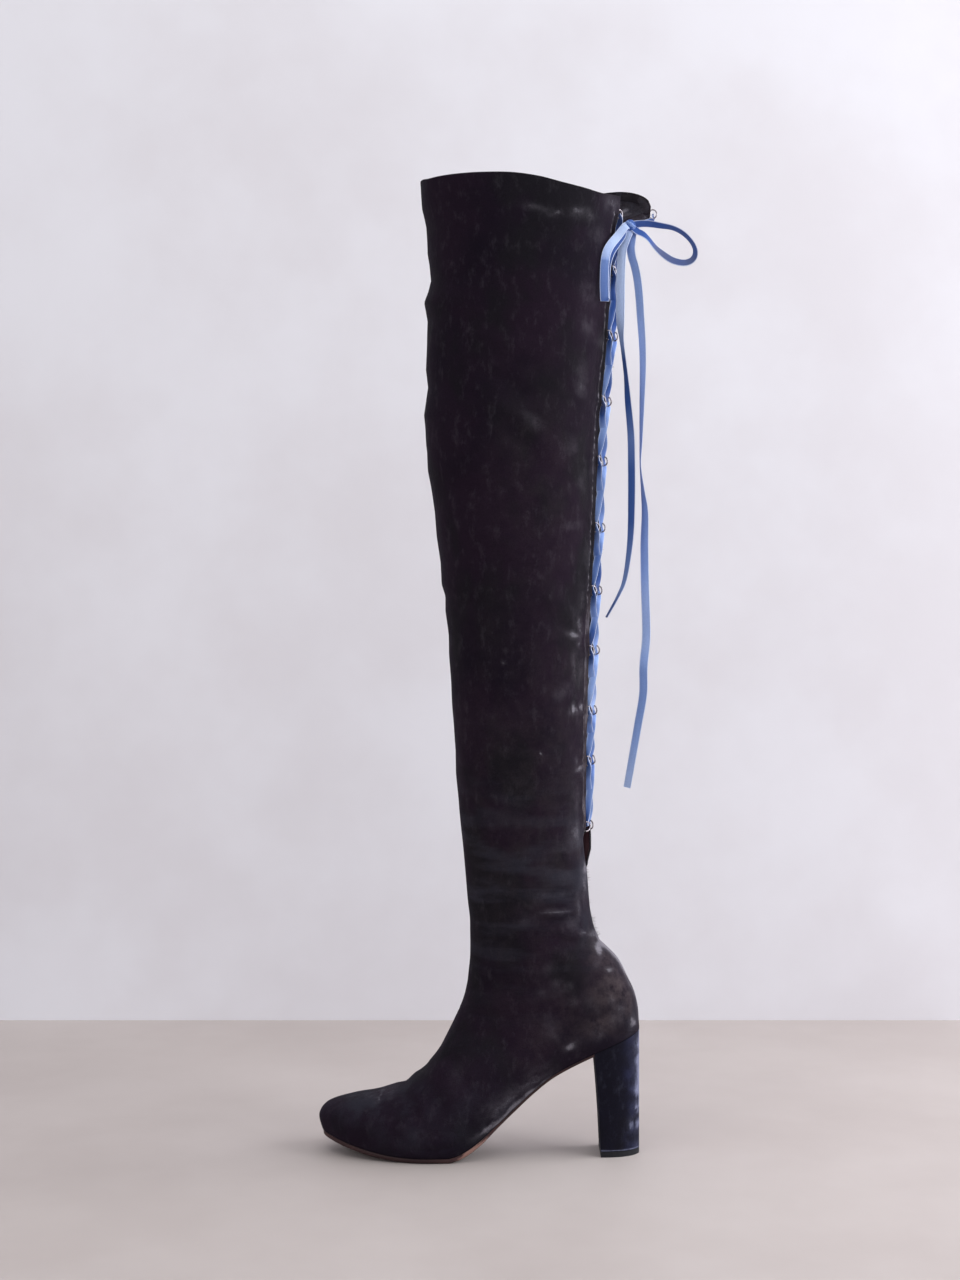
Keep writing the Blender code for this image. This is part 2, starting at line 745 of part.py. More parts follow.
def eye_foot(number, side, way):
    """Where the slit's edge is as high as the eye's upper end, way 1, or its lower end, way -1."""
    up = eye_up(number, side) + way * EYE_HALF_HEIGHT / LEG_HEIGHT
    return slit_edge(up, side)[0]


def strip(mesh, points, faces):
    """A flat ribbon along the points. faces holds the way its broad face looks at each point."""
    rings = []
    for i, point in enumerate(points):
        run = (points[min(i + 1, len(points) - 1)] - points[max(i - 1, 0)]).normalized()
        face = (faces[i] - run * faces[i].dot(run)).normalized()
        side = run.cross(face) * RIBBON_WIDTH / 2
        thick = face * RIBBON_THICKNESS / 2
        rings.append([
            point + side + thick,
            point + side - thick,
            point - side - thick,
            point - side + thick,
        ])
    loft(mesh, rings)


def lace_end(number, side, way):
    """Where a crossing ends, just over or under an eye, way 1 or -1, and its face's angle there."""
    _, out = eye_seat(number, side)
    clear = EYE_HALF_HEIGHT + WIRE_RADIUS + EYE_CLEARANCE
    place = eye_middle(number, side) + Vector((0, 0, way * clear))
    return place, math.atan2(out.y * side, out.x * side)


def lace_branch(mesh, side, end, hub, hub_middle):
    """A run of ribbon from an eye to the hub's four corners, turning its face to the outer side."""
    place, angle = end
    rings = []
    for i in range(LACE_STEPS):
        share = i / LACE_STEPS
        at = place.lerp(hub_middle, share)
        turn = angle + (-math.pi / 2 - angle) * ease(share, 0.0, 1.0)
        half_thick = Vector((math.cos(turn), math.sin(turn), 0)) * -side * RIBBON_THICKNESS / 2
        half_width = Vector((-math.sin(turn), math.cos(turn), 0)) * RIBBON_WIDTH / 2
        corners = ((1, -1), (1, 1), (-1, 1), (-1, -1))
        rings.append([at + half_thick * thick + half_width * wide for thick, wide in corners])
    made = loft(mesh, rings, cap_end=False)
    for i in range(4):
        j = (i + 1) % 4
        mesh.faces.new((made[-1][i], made[-1][j], hub[j], hub[i]))


def lace_cross(number):
    """The runs of ribbon between one pair of eyes and the next, fused at a hub where they cross."""
    ends = {}
    for side in (-1, 1):
        ends[side, 1] = lace_end(number, side, 1)
        ends[side, -1] = lace_end(number + 1, side, -1)
    middle = sum((place for place, _ in ends.values()), Vector()) / 4
    mesh = bmesh.new()
    hub = {}
    for way in (-1, 1):
        for layer in (-1, 0, 1):
            for edge in (-1, 1):
                corner = Vector((edge * RIBBON_WIDTH / 2, layer * RIBBON_THICKNESS, -way * LACE_HUB / 2))
                hub[way, layer, edge] = mesh.verts.new(middle + corner)
    around = ((-1, -1), (-1, 1), (0, 1), (1, 1), (1, -1), (0, -1))
    for one, two in zip(around, around[1:] + around[:1]):
        mesh.faces.new((hub[1, *one], hub[1, *two], hub[-1, *two], hub[-1, *one]))
    for (side, way), end in ends.items():
        corners = [hub[way, side, -1], hub[way, side, 1], hub[way, 0, 1], hub[way, 0, -1]]
        offset = Vector((0, side * RIBBON_THICKNESS / 2, -way * LACE_HUB / 2))
        lace_branch(mesh, side, end, corners, middle + offset)
    return add_mesh(f"lace_cross_{number + 1:02d}", mesh, "ribbon")


def bow_knot():
    mesh = bmesh.new()
    bmesh.ops.create_uvsphere(mesh, u_segments=12, v_segments=8, radius=0.5)
    bmesh.ops.scale(mesh, verts=mesh.verts, vec=KNOT_SIZE)
    bmesh.ops.translate(mesh, verts=mesh.verts, vec=KNOT_MIDDLE)
    return add_mesh("bow_knot", mesh, "ribbon")


def even_route(route):
    """Points a ribbon step apart on a smooth curve through the route, with the face's way at each."""
    rows = [Vector((*row[:3], row[3])) for row in route]
    padded = [2 * rows[0] - rows[1], *rows, 2 * rows[-1] - rows[-2]]
    points, faces = [], []
    for i in range(1, len(padded) - 2):
        a, b, c, d = padded[i - 1:i + 3]
        steps = max(1, round((c - b).xyz.length / RIBBON_STEP))
        for k in range(steps):
            t = k / steps
            row = 0.5 * (2 * b + (c - a) * t + (2 * a - 5 * b + 4 * c - d) * t**2)
            row += 0.5 * (3 * b - a - 3 * c + d) * t**3
            points.append(row.xyz)
            faces.append(row.w)
    points.append(rows[-1].xyz)
    faces.append(rows[-1].w)
    return points, faces


def free_ribbon(name, route):
    """A loop of the bow or a hanging end. The face turns about the run by the route's degrees."""
    points, turns = even_route(route)
    faces = []
    for i, turn in enumerate(turns):
        run = (points[min(i + 1, len(points) - 1)] - points[max(i - 1, 0)]).normalized()
        outer = Vector((0, -1, 0))
        outer = (outer - run * outer.dot(run)).normalized()
        other = run.cross(outer)
        angle = math.radians(turn)
        faces.append(outer * math.cos(angle) + other * math.sin(angle))
    mesh = bmesh.new()
    strip(mesh, points, faces)
    return add_mesh(name, mesh, "ribbon")


def build():
    upper()
    outsole()
    insole()
    heel()
    heel_tip()
    for number in range(len(EYE_STEPS)):
        eye(number, -1)
        eye(number, 1)
    for number in range(len(EYE_STEPS) - 1):
        lace_cross(number)
    bow_knot()
    free_ribbon("bow_loop_back", LOOP_BACK_ROUTE)
    free_ribbon("bow_loop_front", LOOP_FRONT_ROUTE)
    free_ribbon("lace_end_short", END_SHORT_ROUTE)
    free_ribbon("lace_end_long", END_LONG_ROUTE)


for old in list(bpy.data.objects):
    bpy.data.objects.remove(old, do_unlink=True)
MATERIALS = {name: material(name) for name in FINISHES}
build()
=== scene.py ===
"""Worn over-the-knee velvet boot, laced down its back slit with pale blue ribbon.

Sizes and section functions repeat the solid's, so that every piece lies where its solid is.
Tables in millimetres say so. The toe points to -X and the outer side faces -Y.
"""

import math
from collections import namedtuple

import bpy
import numpy as np
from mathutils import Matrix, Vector, noise


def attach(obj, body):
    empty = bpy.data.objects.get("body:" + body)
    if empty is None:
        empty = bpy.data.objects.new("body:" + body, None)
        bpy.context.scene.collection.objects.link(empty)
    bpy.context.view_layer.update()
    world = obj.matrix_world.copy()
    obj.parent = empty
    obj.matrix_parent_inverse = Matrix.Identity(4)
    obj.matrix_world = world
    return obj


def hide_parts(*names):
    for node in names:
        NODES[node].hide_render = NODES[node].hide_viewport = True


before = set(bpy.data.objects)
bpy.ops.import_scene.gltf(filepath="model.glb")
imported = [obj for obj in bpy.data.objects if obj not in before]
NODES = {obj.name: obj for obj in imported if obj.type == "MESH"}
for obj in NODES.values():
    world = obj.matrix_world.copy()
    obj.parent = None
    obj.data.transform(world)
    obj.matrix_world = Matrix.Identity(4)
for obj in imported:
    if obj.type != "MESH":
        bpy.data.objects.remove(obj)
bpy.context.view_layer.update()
MM = 0.001

# Sizes and tables of the solid

FOOT_LENGTH = 0.238
BALL_WIDTH = 0.0712
HEEL_RISE = 0.089
TOE_SPRING = 0.0145
ANKLE_RISE = 0.065
HEEL_BACK = 0.0145
LEG_HEIGHT = 0.5657
FRONT_FLARE = 0.037
BACK_FLARE = 0.024
THIGH_WIDTH = 0.112
COLLAR_DIP = 0.014
WALL = 0.002
GAP = 0.0003
SOLE_THICKNESS = 0.0035
WAIST_THICKNESS = 0.0018
SOLE_EDGE = 0.0012
BREAST_ALONG = 0.145
HEEL_FOOT_DEPTH = 0.0295
HEEL_FOOT_WIDTH = 0.032
HEEL_TIP_THICKNESS = 0.004
SLIT_START = 0.098
SLIT_HALF_GAP = 0.0072
OUTER_LIP = 0.004
INNER_LIP = 0.008
TAB_REACH = 0.0196
TAB_SPREAD = 0.005
TAB_CORNER = 0.0115
EYE_LOWEST = 0.1515
EYE_HIGHEST = 0.974
TAB_EYE_RISE = 0.014
EYE_HALF_HEIGHT = 0.0034
EYE_REACH = 0.0026
EYE_PULL = 0.5
WIRE_RADIUS = 0.00055
RIBBON_WIDTH = 0.0066
KNOT_SIZE = (0.0090, 0.0076, 0.0090)
KNOT_MIDDLE = (0.0073, -0.0076, 0.6910)
TURN_CROWDING = 0.3

Bottom = namedtuple("Bottom", "along lift spring")
BOTTOM_LINE = (
    Bottom(0.000, 1.000, 0.00),
    Bottom(0.145, 0.842, 0.00),
    Bottom(0.224, 0.739, 0.00),
    Bottom(0.280, 0.652, 0.00),
    Bottom(0.335, 0.536, 0.00),
    Bottom(0.400, 0.376, 0.00),
    Bottom(0.450, 0.254, 0.00),
    Bottom(0.500, 0.132, 0.00),
    Bottom(0.540, 0.058, 0.00),
    Bottom(0.575, 0.014, 0.00),
    Bottom(0.600, 0.000, 0.00),
    Bottom(0.700, 0.000, 0.00),
    Bottom(0.760, 0.000, 0.05),
    Bottom(0.820, 0.000, 0.17),
    Bottom(0.870, 0.000, 0.32),
    Bottom(0.920, 0.000, 0.54),
    Bottom(0.965, 0.000, 0.80),
    Bottom(1.000, 0.000, 1.00),
)

Outline = namedtuple("Outline", "along half centre")
OUTLINE = (
    Outline(0.000, 0.350, 0.000),
    Outline(0.145, 0.350, 0.000),
    Outline(0.250, 0.334, -0.006),
    Outline(0.350, 0.322, -0.024),
    Outline(0.450, 0.350, -0.030),
    Outline(0.550, 0.424, -0.004),
    Outline(0.620, 0.480, 0.028),
    Outline(0.680, 0.500, 0.048),
    Outline(0.740, 0.482, 0.058),
    Outline(0.820, 0.450, 0.070),
    Outline(0.900, 0.421, 0.082),
    Outline(1.000, 0.394, 0.094),
)
HEEL_ROUND_END = 0.125
TOE_ROUND_START = 0.74

Foot = namedtuple("Foot", "along up front lift body bulge square")
FOOT_SECTIONS = (
    Foot(0.1240, 1.000, 0.5315, 1.00, 1.000, 1.314, 2.2),
    Foot(0.0676, 0.795, 0.5330, 0.95, 0.865, 1.275, 2.3),
    Foot(0.0374, 0.595, 0.5380, 0.85, 0.829, 1.255, 2.4),
    Foot(0.0126, 0.388, 0.5454, 0.72, 0.831, 1.235, 2.5),
    Foot(0.0021, 0.180, 0.5546, 0.60, 0.860, 1.196, 2.6),
    Foot(0.0000, 0.000, 0.5630, 0.52, 0.886, 1.157, 2.6),
    Foot(0.0120, 0.000, 0.5655, 0.49, 0.898, 1.157, 2.6),
    Foot(0.0350, 0.000, 0.5700, 0.46, 0.906, 1.160, 2.6),
    Foot(0.0700, 0.000, 0.5752, 0.43, 0.906, 1.170, 2.6),
    Foot(0.1650, 0.000, 0.5890, 0.36, 0.895, 1.190, 2.5),
    Foot(0.2800, 0.000, 0.6050, 0.28, 0.890, 1.280, 2.4),
    Foot(0.4000, 0.000, 0.6265, 0.20, 0.860, 1.320, 2.3),
    Foot(0.5050, 0.000, 0.6576, 0.12, 0.822, 1.260, 2.3),
    Foot(0.5950, 0.000, 0.6996, 0.05, 0.748, 1.170, 2.3),
    Foot(0.6850, 0.000, 0.7605, 0.00, 0.686, 1.120, 2.3),
    Foot(0.7750, 0.000, 0.8330, 0.00, 0.615, 1.095, 2.3),
    Foot(0.8600, 0.000, 0.9010, 0.00, 0.572, 1.090, 2.4),
    Foot(0.9250, 0.000, 0.9480, 0.00, 0.530, 1.090, 2.4),
    Foot(0.9700, 0.000, 0.9780, 0.00, 0.475, 1.090, 2.4),
    Foot(0.9900, 0.000, 0.9930, 0.00, 0.400, 1.090, 2.4),
    Foot(0.9970, 0.000, 0.9985, 0.00, 0.325, 1.090, 2.4),
    Foot(1.0000, 0.000, 1.0000, 0.00, 0.000, 1.090, 2.4),
)

Leg = namedtuple("Leg", "up front back girth lip")
LEG_SECTIONS = (
    Leg(0.0000, 0.000, 0.540, 0.00, 0.0),
    Leg(0.0243, 0.000, 0.310, 0.01, 0.0),
    Leg(0.0543, 0.040, 0.190, 0.03, 0.0),
    Leg(0.0980, 0.090, 0.110, 0.07, 0.0),
    Leg(0.1220, 0.120, 0.060, 0.10, 0.3),
    Leg(0.1851, 0.243, 0.000, 0.25, 0.6),
    Leg(0.2910, 0.343, 0.010, 0.43, 0.8),
    Leg(0.3970, 0.424, 0.040, 0.56, 1.0),
    Leg(0.4746, 0.568, 0.125, 0.65, 1.0),
    Leg(0.5810, 0.770, 0.250, 0.70, 1.0),
    Leg(0.6600, 0.930, 0.310, 0.80, 1.0),
    Leg(0.7930, 0.900, 0.600, 0.90, 1.0),
    Leg(0.8995, 0.860, 0.760, 0.96, 1.0),
    Leg(1.0000, 1.000, 1.000, 1.00, 1.0),
)
LEG_SQUARE = 2.15
LIP_START = 0.88
COLLAR_BEND_START = 0.92
TAB_START = 0.938
TAB_FULL = 0.984
TAB_CORNER_START = 0.93
SLIT_OPENING_LENGTH = 0.045

Collar = namedtuple("Collar", "across outer inner")
COLLAR = (
    Collar(0.00, 0.02, 0.02),
    Collar(0.05, 0.16, 0.16),
    Collar(0.20, 0.17, 0.17),
    Collar(0.43, 0.22, 0.22),
    Collar(0.58, 0.38, 0.25),
    Collar(0.72, 0.68, 0.25),
    Collar(0.82, 0.86, 0.25),
    Collar(0.93, 1.00, 0.25),
    Collar(1.00, 0.86, 0.25),
)
EYE_STEPS = (0.0, 0.105, 0.185, 0.282, 0.378, 0.479, 0.586, 0.682, 0.787, 0.890, 1.0)

Heel = namedtuple("Heel", "up depth width")
HEEL_SECTIONS = (
    Heel(0.0, 0.00, 0.00),
    Heel(0.3, 0.22, 0.10),
    Heel(0.6, 0.52, 0.32),
    Heel(0.85, 0.82, 0.68),
    Heel(1.0, 1.00, 1.00),
)

LOOP_BACK_ROUTE = (
    (0.0124, -0.0070, 0.6922, 48),
    (0.0203, -0.0074, 0.6923, 50),
    (0.0296, -0.0082, 0.6908, 58),
    (0.0388, -0.0090, 0.6889, 68),
    (0.0463, -0.0098, 0.6849, 70),
    (0.0524, -0.0104, 0.6787, 72),
    (0.0553, -0.0106, 0.6725, 66),
    (0.0548, -0.0106, 0.6672, 50),
    (0.0516, -0.0105, 0.6638, 38),
    (0.0463, -0.0103, 0.6627, 32),
    (0.0388, -0.0099, 0.6645, 30),
    (0.0321, -0.0094, 0.6688, 34),
    (0.0259, -0.0089, 0.6744, 50),
    (0.0210, -0.0084, 0.6806, 54),
    (0.0167, -0.0079, 0.6845, 40),
    (0.0127, -0.0076, 0.6865, 36),
)
LOOP_FRONT_ROUTE = (
    (0.0034, -0.0118, 0.6896, 24),
    (-0.0024, -0.0176, 0.6816, 14),
    (-0.0080, -0.0232, 0.6742, 6),
    (-0.0113, -0.0264, 0.6677, 2),
    (-0.0127, -0.0280, 0.6600, 0),
    (-0.0131, -0.0290, 0.6526, 0),
    (-0.0133, -0.0294, 0.6447, 0),
    (-0.0131, -0.0292, 0.6372, 0),
    (-0.0129, -0.0283, 0.6330, 0),
    (-0.0126, -0.0267, 0.6330, 0),
    (-0.0122, -0.0265, 0.6375, 0),
    (-0.0121, -0.0268, 0.6450, 0),
    (-0.0118, -0.0262, 0.6530, 0),
    (-0.0108, -0.0248, 0.6610, 0),
    (-0.0080, -0.0218, 0.6690, 4),
    (-0.0036, -0.0174, 0.6760, 10),
    (0.0006, -0.0136, 0.6826, 12),
    (0.0018, -0.0116, 0.6872, 14),
)
END_SHORT_ROUTE = (
    (0.0062, -0.0084, 0.6860, 6),
    (0.0034, -0.0096, 0.6790, 14),
    (0.0012, -0.0108, 0.6720, 10),
    (0.0002, -0.0114, 0.6605, 8),
    (-0.0002, -0.0120, 0.6483, 8),
    (-0.0003, -0.0126, 0.6360, 10),
    (-0.0004, -0.0132, 0.6200, 26),
    (0.0006, -0.0138, 0.6048, 66),
    (0.0036, -0.0142, 0.5796, 66),
    (0.0052, -0.0146, 0.5589, 48),
    (0.0073, -0.0148, 0.5352, 40),
    (0.0078, -0.0150, 0.5115, 36),
    (0.0078, -0.0152, 0.4882, 38),
    (0.0073, -0.0154, 0.4649, 46),
    (0.0058, -0.0158, 0.4472, 56),
    (0.0025, -0.0162, 0.4272, 66),
    (-0.0023, -0.0168, 0.4154, 74),
    (-0.0110, -0.0176, 0.3996, 80),
)
END_LONG_ROUTE = (
    (0.0088, -0.0060, 0.6860, 10),
    (0.0082, -0.0070, 0.6790, 18),
    (0.0078, -0.0078, 0.6738, 24),
    (0.0086, -0.0088, 0.6671, 28),
    (0.0105, -0.0096, 0.6604, 30),
    (0.0124, -0.0102, 0.6508, 30),
    (0.0138, -0.0104, 0.6381, 32),
    (0.0148, -0.0104, 0.6233, 36),
    (0.0162, -0.0104, 0.6017, 44),
    (0.0165, -0.0104, 0.5832, 50),
    (0.0159, -0.0104, 0.5594, 60),
    (0.0151, -0.0104, 0.5297, 76),
    (0.0147, -0.0104, 0.5119, 86),
    (0.0165, -0.0104, 0.4933, 70),
    (0.0181, -0.0104, 0.4770, 46),
    (0.0177, -0.0104, 0.4532, 30),
    (0.0181, -0.0104, 0.4235, 24),
    (0.0189, -0.0104, 0.3990, 24),
    (0.0189, -0.0104, 0.3826, 22),
    (0.0170, -0.0104, 0.3626, 22),
    (0.0167, -0.0104, 0.3425, 26),
    (0.0129, -0.0104, 0.3195, 32),
    (0.0089, -0.0104, 0.2965, 36),
    (0.0048, -0.0104, 0.2731, 40),
)

# Waves of the shin's outline, in millimetres: height, and how far it stands out.
FRONT_WAVES = (
    (720, 0.0), (704, 0.9), (690, -0.8), (670, -0.4), (662, -1.8), (650, -3.1), (642, -1.2),
    (634, 1.7), (620, -1.3), (600, -0.9), (584, -0.6), (571, -2.6), (560, -1.2), (550, 0.3),
    (540, -0.8), (522, -1.8), (508, -0.6), (492, -0.9), (478, -1.2), (460, -0.4), (440, -0.8),
    (424, 0.6), (415, -0.9), (404, 0.4), (386, -0.3), (372, 0.4), (350, 0.0), (330, 0.3),
    (300, -0.3), (284, 0.2), (262, -0.2), (240, 0.2), (160, 0.0), (0, 0.0),
)

# Creases, in millimetres: side, height of the ridge or trough, its half width and
# the points x, z that it follows as seen from that side.
Crease = namedtuple("Crease", "side rise width points")
CREASES = (
    # ankle, at the back
    Crease(-1, 0.8, 2.6, ((-66, 185), (-52, 183), (-38, 184), (-28, 187))),
    Crease(-1, -0.8, 2.8, ((-64, 178), (-46, 177), (-33, 179), (-24, 183))),
    Crease(-1, 0.9, 2.8, ((-54, 173), (-40, 169), (-30, 167), (-22, 169))),
    Crease(-1, -0.8, 2.8, ((-52, 165), (-38, 161), (-28, 160), (-20, 162))),
    Crease(-1, -0.8, 3.2, ((-62, 197), (-46, 195), (-34, 192), (-27, 189))),
    Crease(-1, 0.5, 3.2, ((-66, 209), (-50, 209), (-36, 206), (-29, 203))),
    Crease(-1, -0.5, 3.4, ((-58, 218), (-44, 217), (-34, 214))),
    Crease(-1, 0.5, 3.4, ((-60, 228), (-48, 228), (-37, 226))),
    Crease(-1, 0.7, 2.4, ((-35, 258), (-34, 236), (-33, 214), (-33, 192), (-30, 172))),
    Crease(-1, -0.6, 2.0, ((-30, 240), (-29, 220), (-28, 200))),
    # ankle, at the front
    Crease(-1, -0.9, 5.0, ((-118, 128), (-104, 124), (-88, 126), (-74, 134))),
    Crease(-1, 0.6, 5.0, ((-116, 140), (-102, 137), (-86, 140), (-70, 148))),
    Crease(-1, -0.6, 5.0, ((-112, 154), (-98, 150), (-84, 154), (-72, 160))),
    Crease(-1, -0.8, 4.5, ((-128, 98), (-114, 92), (-98, 94), (-86, 100))),
    # vamp
    Crease(-1, -0.9, 3.4, ((-165, 60), (-160, 50), (-152, 38), (-146, 27))),
    Crease(-1, 0.7, 3.6, ((-159, 63), (-153, 52), (-145, 41), (-138, 31))),
    Crease(-1, -1.0, 3.8, ((-149, 69), (-143, 58), (-134, 46), (-126, 36))),
    Crease(-1, 0.6, 4.4, ((-140, 76), (-133, 64), (-124, 52), (-117, 42))),
    Crease(-1, -0.9, 4.2, ((-130, 82), (-121, 68), (-113, 56), (-108, 44))),
    Crease(-1, -0.7, 2.4, ((-160, 11), (-142, 10), (-124, 13), (-112, 20))),
    Crease(-1, 0.5, 3.0, ((-154, 17), (-138, 16), (-122, 19), (-108, 28))),
    # counter
    Crease(-1, -0.6, 2.0, ((-20, 165), (-30, 156), (-40, 140), (-45, 120), (-44, 98))),
    Crease(-1, 0.5, 3.0, ((-12, 150), (-20, 146), (-30, 134), (-34, 116))),
    Crease(-1, -0.5, 4.0, ((-2, 128), (-14, 122), (-24, 112))),
    # shaft
    Crease(-1, 0.9, 6.0, ((-104, 560), (-86, 552), (-72, 541), (-58, 527))),
    Crease(-1, -0.8, 6.0, ((-112, 579), (-94, 575), (-78, 566), (-60, 556))),
    Crease(-1, -0.7, 6.5, ((-90, 540), (-76, 528), (-60, 512), (-46, 500))),
    Crease(-1, 0.7, 6.5, ((-120, 606), (-100, 604), (-80, 598), (-56, 592))),
    Crease(-1, -0.8, 5.5, ((-145, 650), (-128, 646), (-110, 648), (-90, 654))),
    Crease(-1, 0.7, 5.5, ((-146, 634), (-130, 631), (-112, 630))),
    Crease(-1, -0.7, 5.0, ((-146, 571), (-132, 568), (-118, 562))),
    Crease(-1, -0.7, 6.0, ((-140, 500), (-122, 494), (-104, 492), (-84, 496))),
    Crease(-1, 0.6, 7.0, ((-130, 470), (-108, 462), (-84, 452), (-56, 438))),
    Crease(-1, -0.6, 5.0, ((-131, 415), (-116, 411), (-98, 412))),
    Crease(-1, 0.6, 6.0, ((-64, 420), (-52, 414), (-40, 406), (-30, 398))),
    Crease(-1, -0.6, 6.0, ((-58, 402), (-46, 394), (-36, 388))),
    Crease(-1, -0.5, 7.0, ((-112, 380), (-98, 350), (-90, 320), (-88, 290))),
    Crease(-1, 0.5, 8.0, ((-70, 380), (-62, 345), (-58, 310), (-58, 270))),
    Crease(-1, -0.5, 5.0, ((-74, 660), (-60, 655), (-40, 654), (-22, 662))),
    Crease(-1, 0.6, 5.0, ((-70, 690), (-54, 687), (-36, 688), (-20, 694))),
    # inner side
    Crease(1, -0.8, 4.0, ((-118, 130), (-102, 124), (-84, 128), (-66, 138))),
    Crease(1, 0.7, 4.0, ((-114, 142), (-98, 138), (-80, 142), (-60, 150))),
    Crease(1, -0.9, 3.0, ((-64, 180), (-46, 177), (-30, 180), (-22, 184))),
    Crease(1, 0.8, 3.0, ((-60, 190), (-44, 188), (-28, 191))),
    Crease(1, -0.7, 3.2, ((-64, 204), (-46, 202), (-30, 203))),
    Crease(1, -0.9, 3.6, ((-165, 60), (-160, 48), (-154, 36), (-150, 26))),
    Crease(1, 0.7, 3.8, ((-157, 64), (-151, 52), (-144, 40), (-140, 30))),
    Crease(1, -0.9, 4.0, ((-148, 70), (-140, 57), (-132, 45), (-128, 34))),
    Crease(1, -0.8, 6.0, ((-144, 650), (-124, 640), (-100, 642), (-70, 650))),
    Crease(1, 0.8, 7.0, ((-140, 560), (-112, 548), (-84, 552), (-50, 570))),
    Crease(1, -0.8, 6.5, ((-138, 500), (-112, 488), (-80, 492), (-44, 508))),
    Crease(1, 0.6, 7.0, ((-120, 440), (-96, 424), (-66, 428), (-38, 444))),
    Crease(1, -0.6, 7.0, ((-112, 340), (-92, 330), (-66, 336), (-38, 350))),
    Crease(1, 0.6, 6.0, ((-100, 270), (-80, 262), (-56, 266), (-36, 276))),
)

# Patches of the outer side, in millimetres: x, z, the two half lengths, the slant in degrees
# and the strength. Light is bare, pale nap, dust is brown and the blue-grey sheen
# is a painted highlight.
Patch = namedtuple("Patch", "x z long short slant strength")
LIGHT = (
    Patch(-16, 154, 3.4, 4.8, 20, 0.95), Patch(-18, 147, 3, 4, 0, 0.4), Patch(-9, 140.5, 2.6, 1.7, 0, 0.9),
    Patch(-46, 130, 7, 4, 20, 0.4), Patch(-39, 130, 3, 4, 0, 0.35), Patch(-37, 118, 4, 3, 0, 0.4),
    Patch(-60, 123, 7, 4, 30, 0.3), Patch(-16, 95, 5, 4, 60, 0.45), Patch(-4, 104, 6, 4, 60, 0.4),
    # Painted highlights: the thin streaks at the ankle's back, z 165 to 240, light its crease ridges and back
    # edge.
    Patch(8.5, 101, 3, 6, 0, 0.8), Patch(-38, 85, 5, 2.4, 40, 0.78), Patch(-28, 167.5, 8, 2.2, -20, 0.62),
    Patch(-36, 173, 5, 5, 0, 0.45), Patch(-48, 184, 14, 1.7, 0, 0.68), Patch(-27, 202, 2.4, 14, 0, 0.6),
    Patch(-32, 185, 2.6, 12, 0, 0.5), Patch(-34, 240, 4, 12, 0, 0.55), Patch(-26, 212, 3, 8, 0, 0.7),
    Patch(-20, 165, 5, 5, 0, 0.6), Patch(-50, 197, 12, 1.4, 3, 0.3), Patch(-40, 229, 12, 1.5, 0, 0.3),
    Patch(-34.5, 333, 1.6, 5, 0, 0.95), Patch(-30.8, 334, 1.4, 4.4, 0, 0.85),
    Patch(-38, 331, 1.2, 3, 0, 0.5),
    Patch(-31, 288, 4.8, 2.2, 25, 0.8), Patch(-33, 293, 2.0, 3.4, 0, 0.55), Patch(-28.6, 284, 1.6, 3, 0, 0.5),
    Patch(-35, 387, 6, 2.4, -25, 0.8), Patch(-31, 381, 2, 4, 0, 0.6), Patch(-30, 391, 2, 6, 10, 0.6),
    Patch(-31, 396, 4, 7, 20, 0.6), Patch(-35, 362, 2, 14, 0, 0.5), Patch(-30, 360, 2, 12, 0, 0.4),
    Patch(-43, 346, 7, 4, 40, 0.35), Patch(-29, 412, 3, 9, 0, 0.45), Patch(-25, 440, 2, 18, 0, 0.4),
    Patch(-33, 265, 3, 10, 0, 0.4), Patch(-31, 568, 3.6, 7, 20, 0.5), Patch(-27, 613, 5, 7, 0, 0.46),
    Patch(-30, 577, 5, 9, 0, 0.4), Patch(-16, 604, 3, 4, 0, 0.4), Patch(-24, 636, 6, 9, 0, 0.3),
    Patch(-50, 692, 6, 3, 10, 0.6), Patch(-33, 694, 7, 4, 0, 0.6), Patch(-64, 696, 9, 2.4, -10, 0.5),
    Patch(-24, 692, 5, 4, 0, 0.5), Patch(-18, 680, 6, 6, 0, 0.4), Patch(-6, 705, 6, 8, 0, 0.55),
    Patch(-38, 525, 5, 6, 0, 0.35), Patch(-66, 543, 9, 4, -30, 0.35), Patch(-87, 367, 1, 1.6, 0, 0.9),
    Patch(-60, 302, 1, 1, 0, 1.0), Patch(-36, 467, 6, 2.4, 20, 0.35), Patch(-30, 500, 3, 7, 0, 0.35),
    Patch(-20, 520, 2, 40, 0, 0.4), Patch(-192, 46, 13, 4.0, 8, 0.5), Patch(-179, 44, 4.4, 1.5, 40, 0.6),
    Patch(-70, 180, 6, 5, 0, 0.3), Patch(-55, 142, 6, 5, 30, 0.3), Patch(-24, 118, 5, 7, 10, 0.4),
    Patch(-52, 98, 5, 7, 0, 0.35), Patch(-6, 118, 3, 4, 0, 0.5), Patch(-1, 112, 3, 6, 20, 0.5),
    Patch(-172, 47, 6, 3, 20, 0.3), Patch(-120, 63, 10, 5, 70, 0.2), Patch(-145, 23, 9, 3, 0, 0.2),
)
DUST = (
    Patch(-3, 124, 20, 24, 0, 1.0), Patch(-12, 104, 18, 10, 20, 0.8), Patch(-44, 104, 24, 22, 0, 0.35),
    # The two broad patches on the shaft, at z 250 and 500, only make it a little paler and mauver below its
    # top.
    Patch(-12, 150, 12, 12, 0, 0.6), Patch(-64, 84, 20, 12, 30, 0.25), Patch(-60, 500, 40, 80, 0, 0.12),
    Patch(-62, 250, 60, 170, 0, 0.17),
)
PAINTED_SHEEN = (
    Patch(-195, 38, 26, 13, 5, 0.9), Patch(-160, 44, 26, 14, -10, 0.7), Patch(-150, 20, 40, 12, 0, 0.6),
    Patch(-112, 46, 26, 16, 40, 0.4), Patch(-90, 34, 20, 8, 40, 0.6), Patch(-28, 205, 8, 46, 0, 0.95),
    Patch(8, 100, 6, 12, 0, 0.6), Patch(-182, 38, 14, 9, 0, 1.0),
    Patch(-190, 45, 18, 6, 6, 1.0),
)

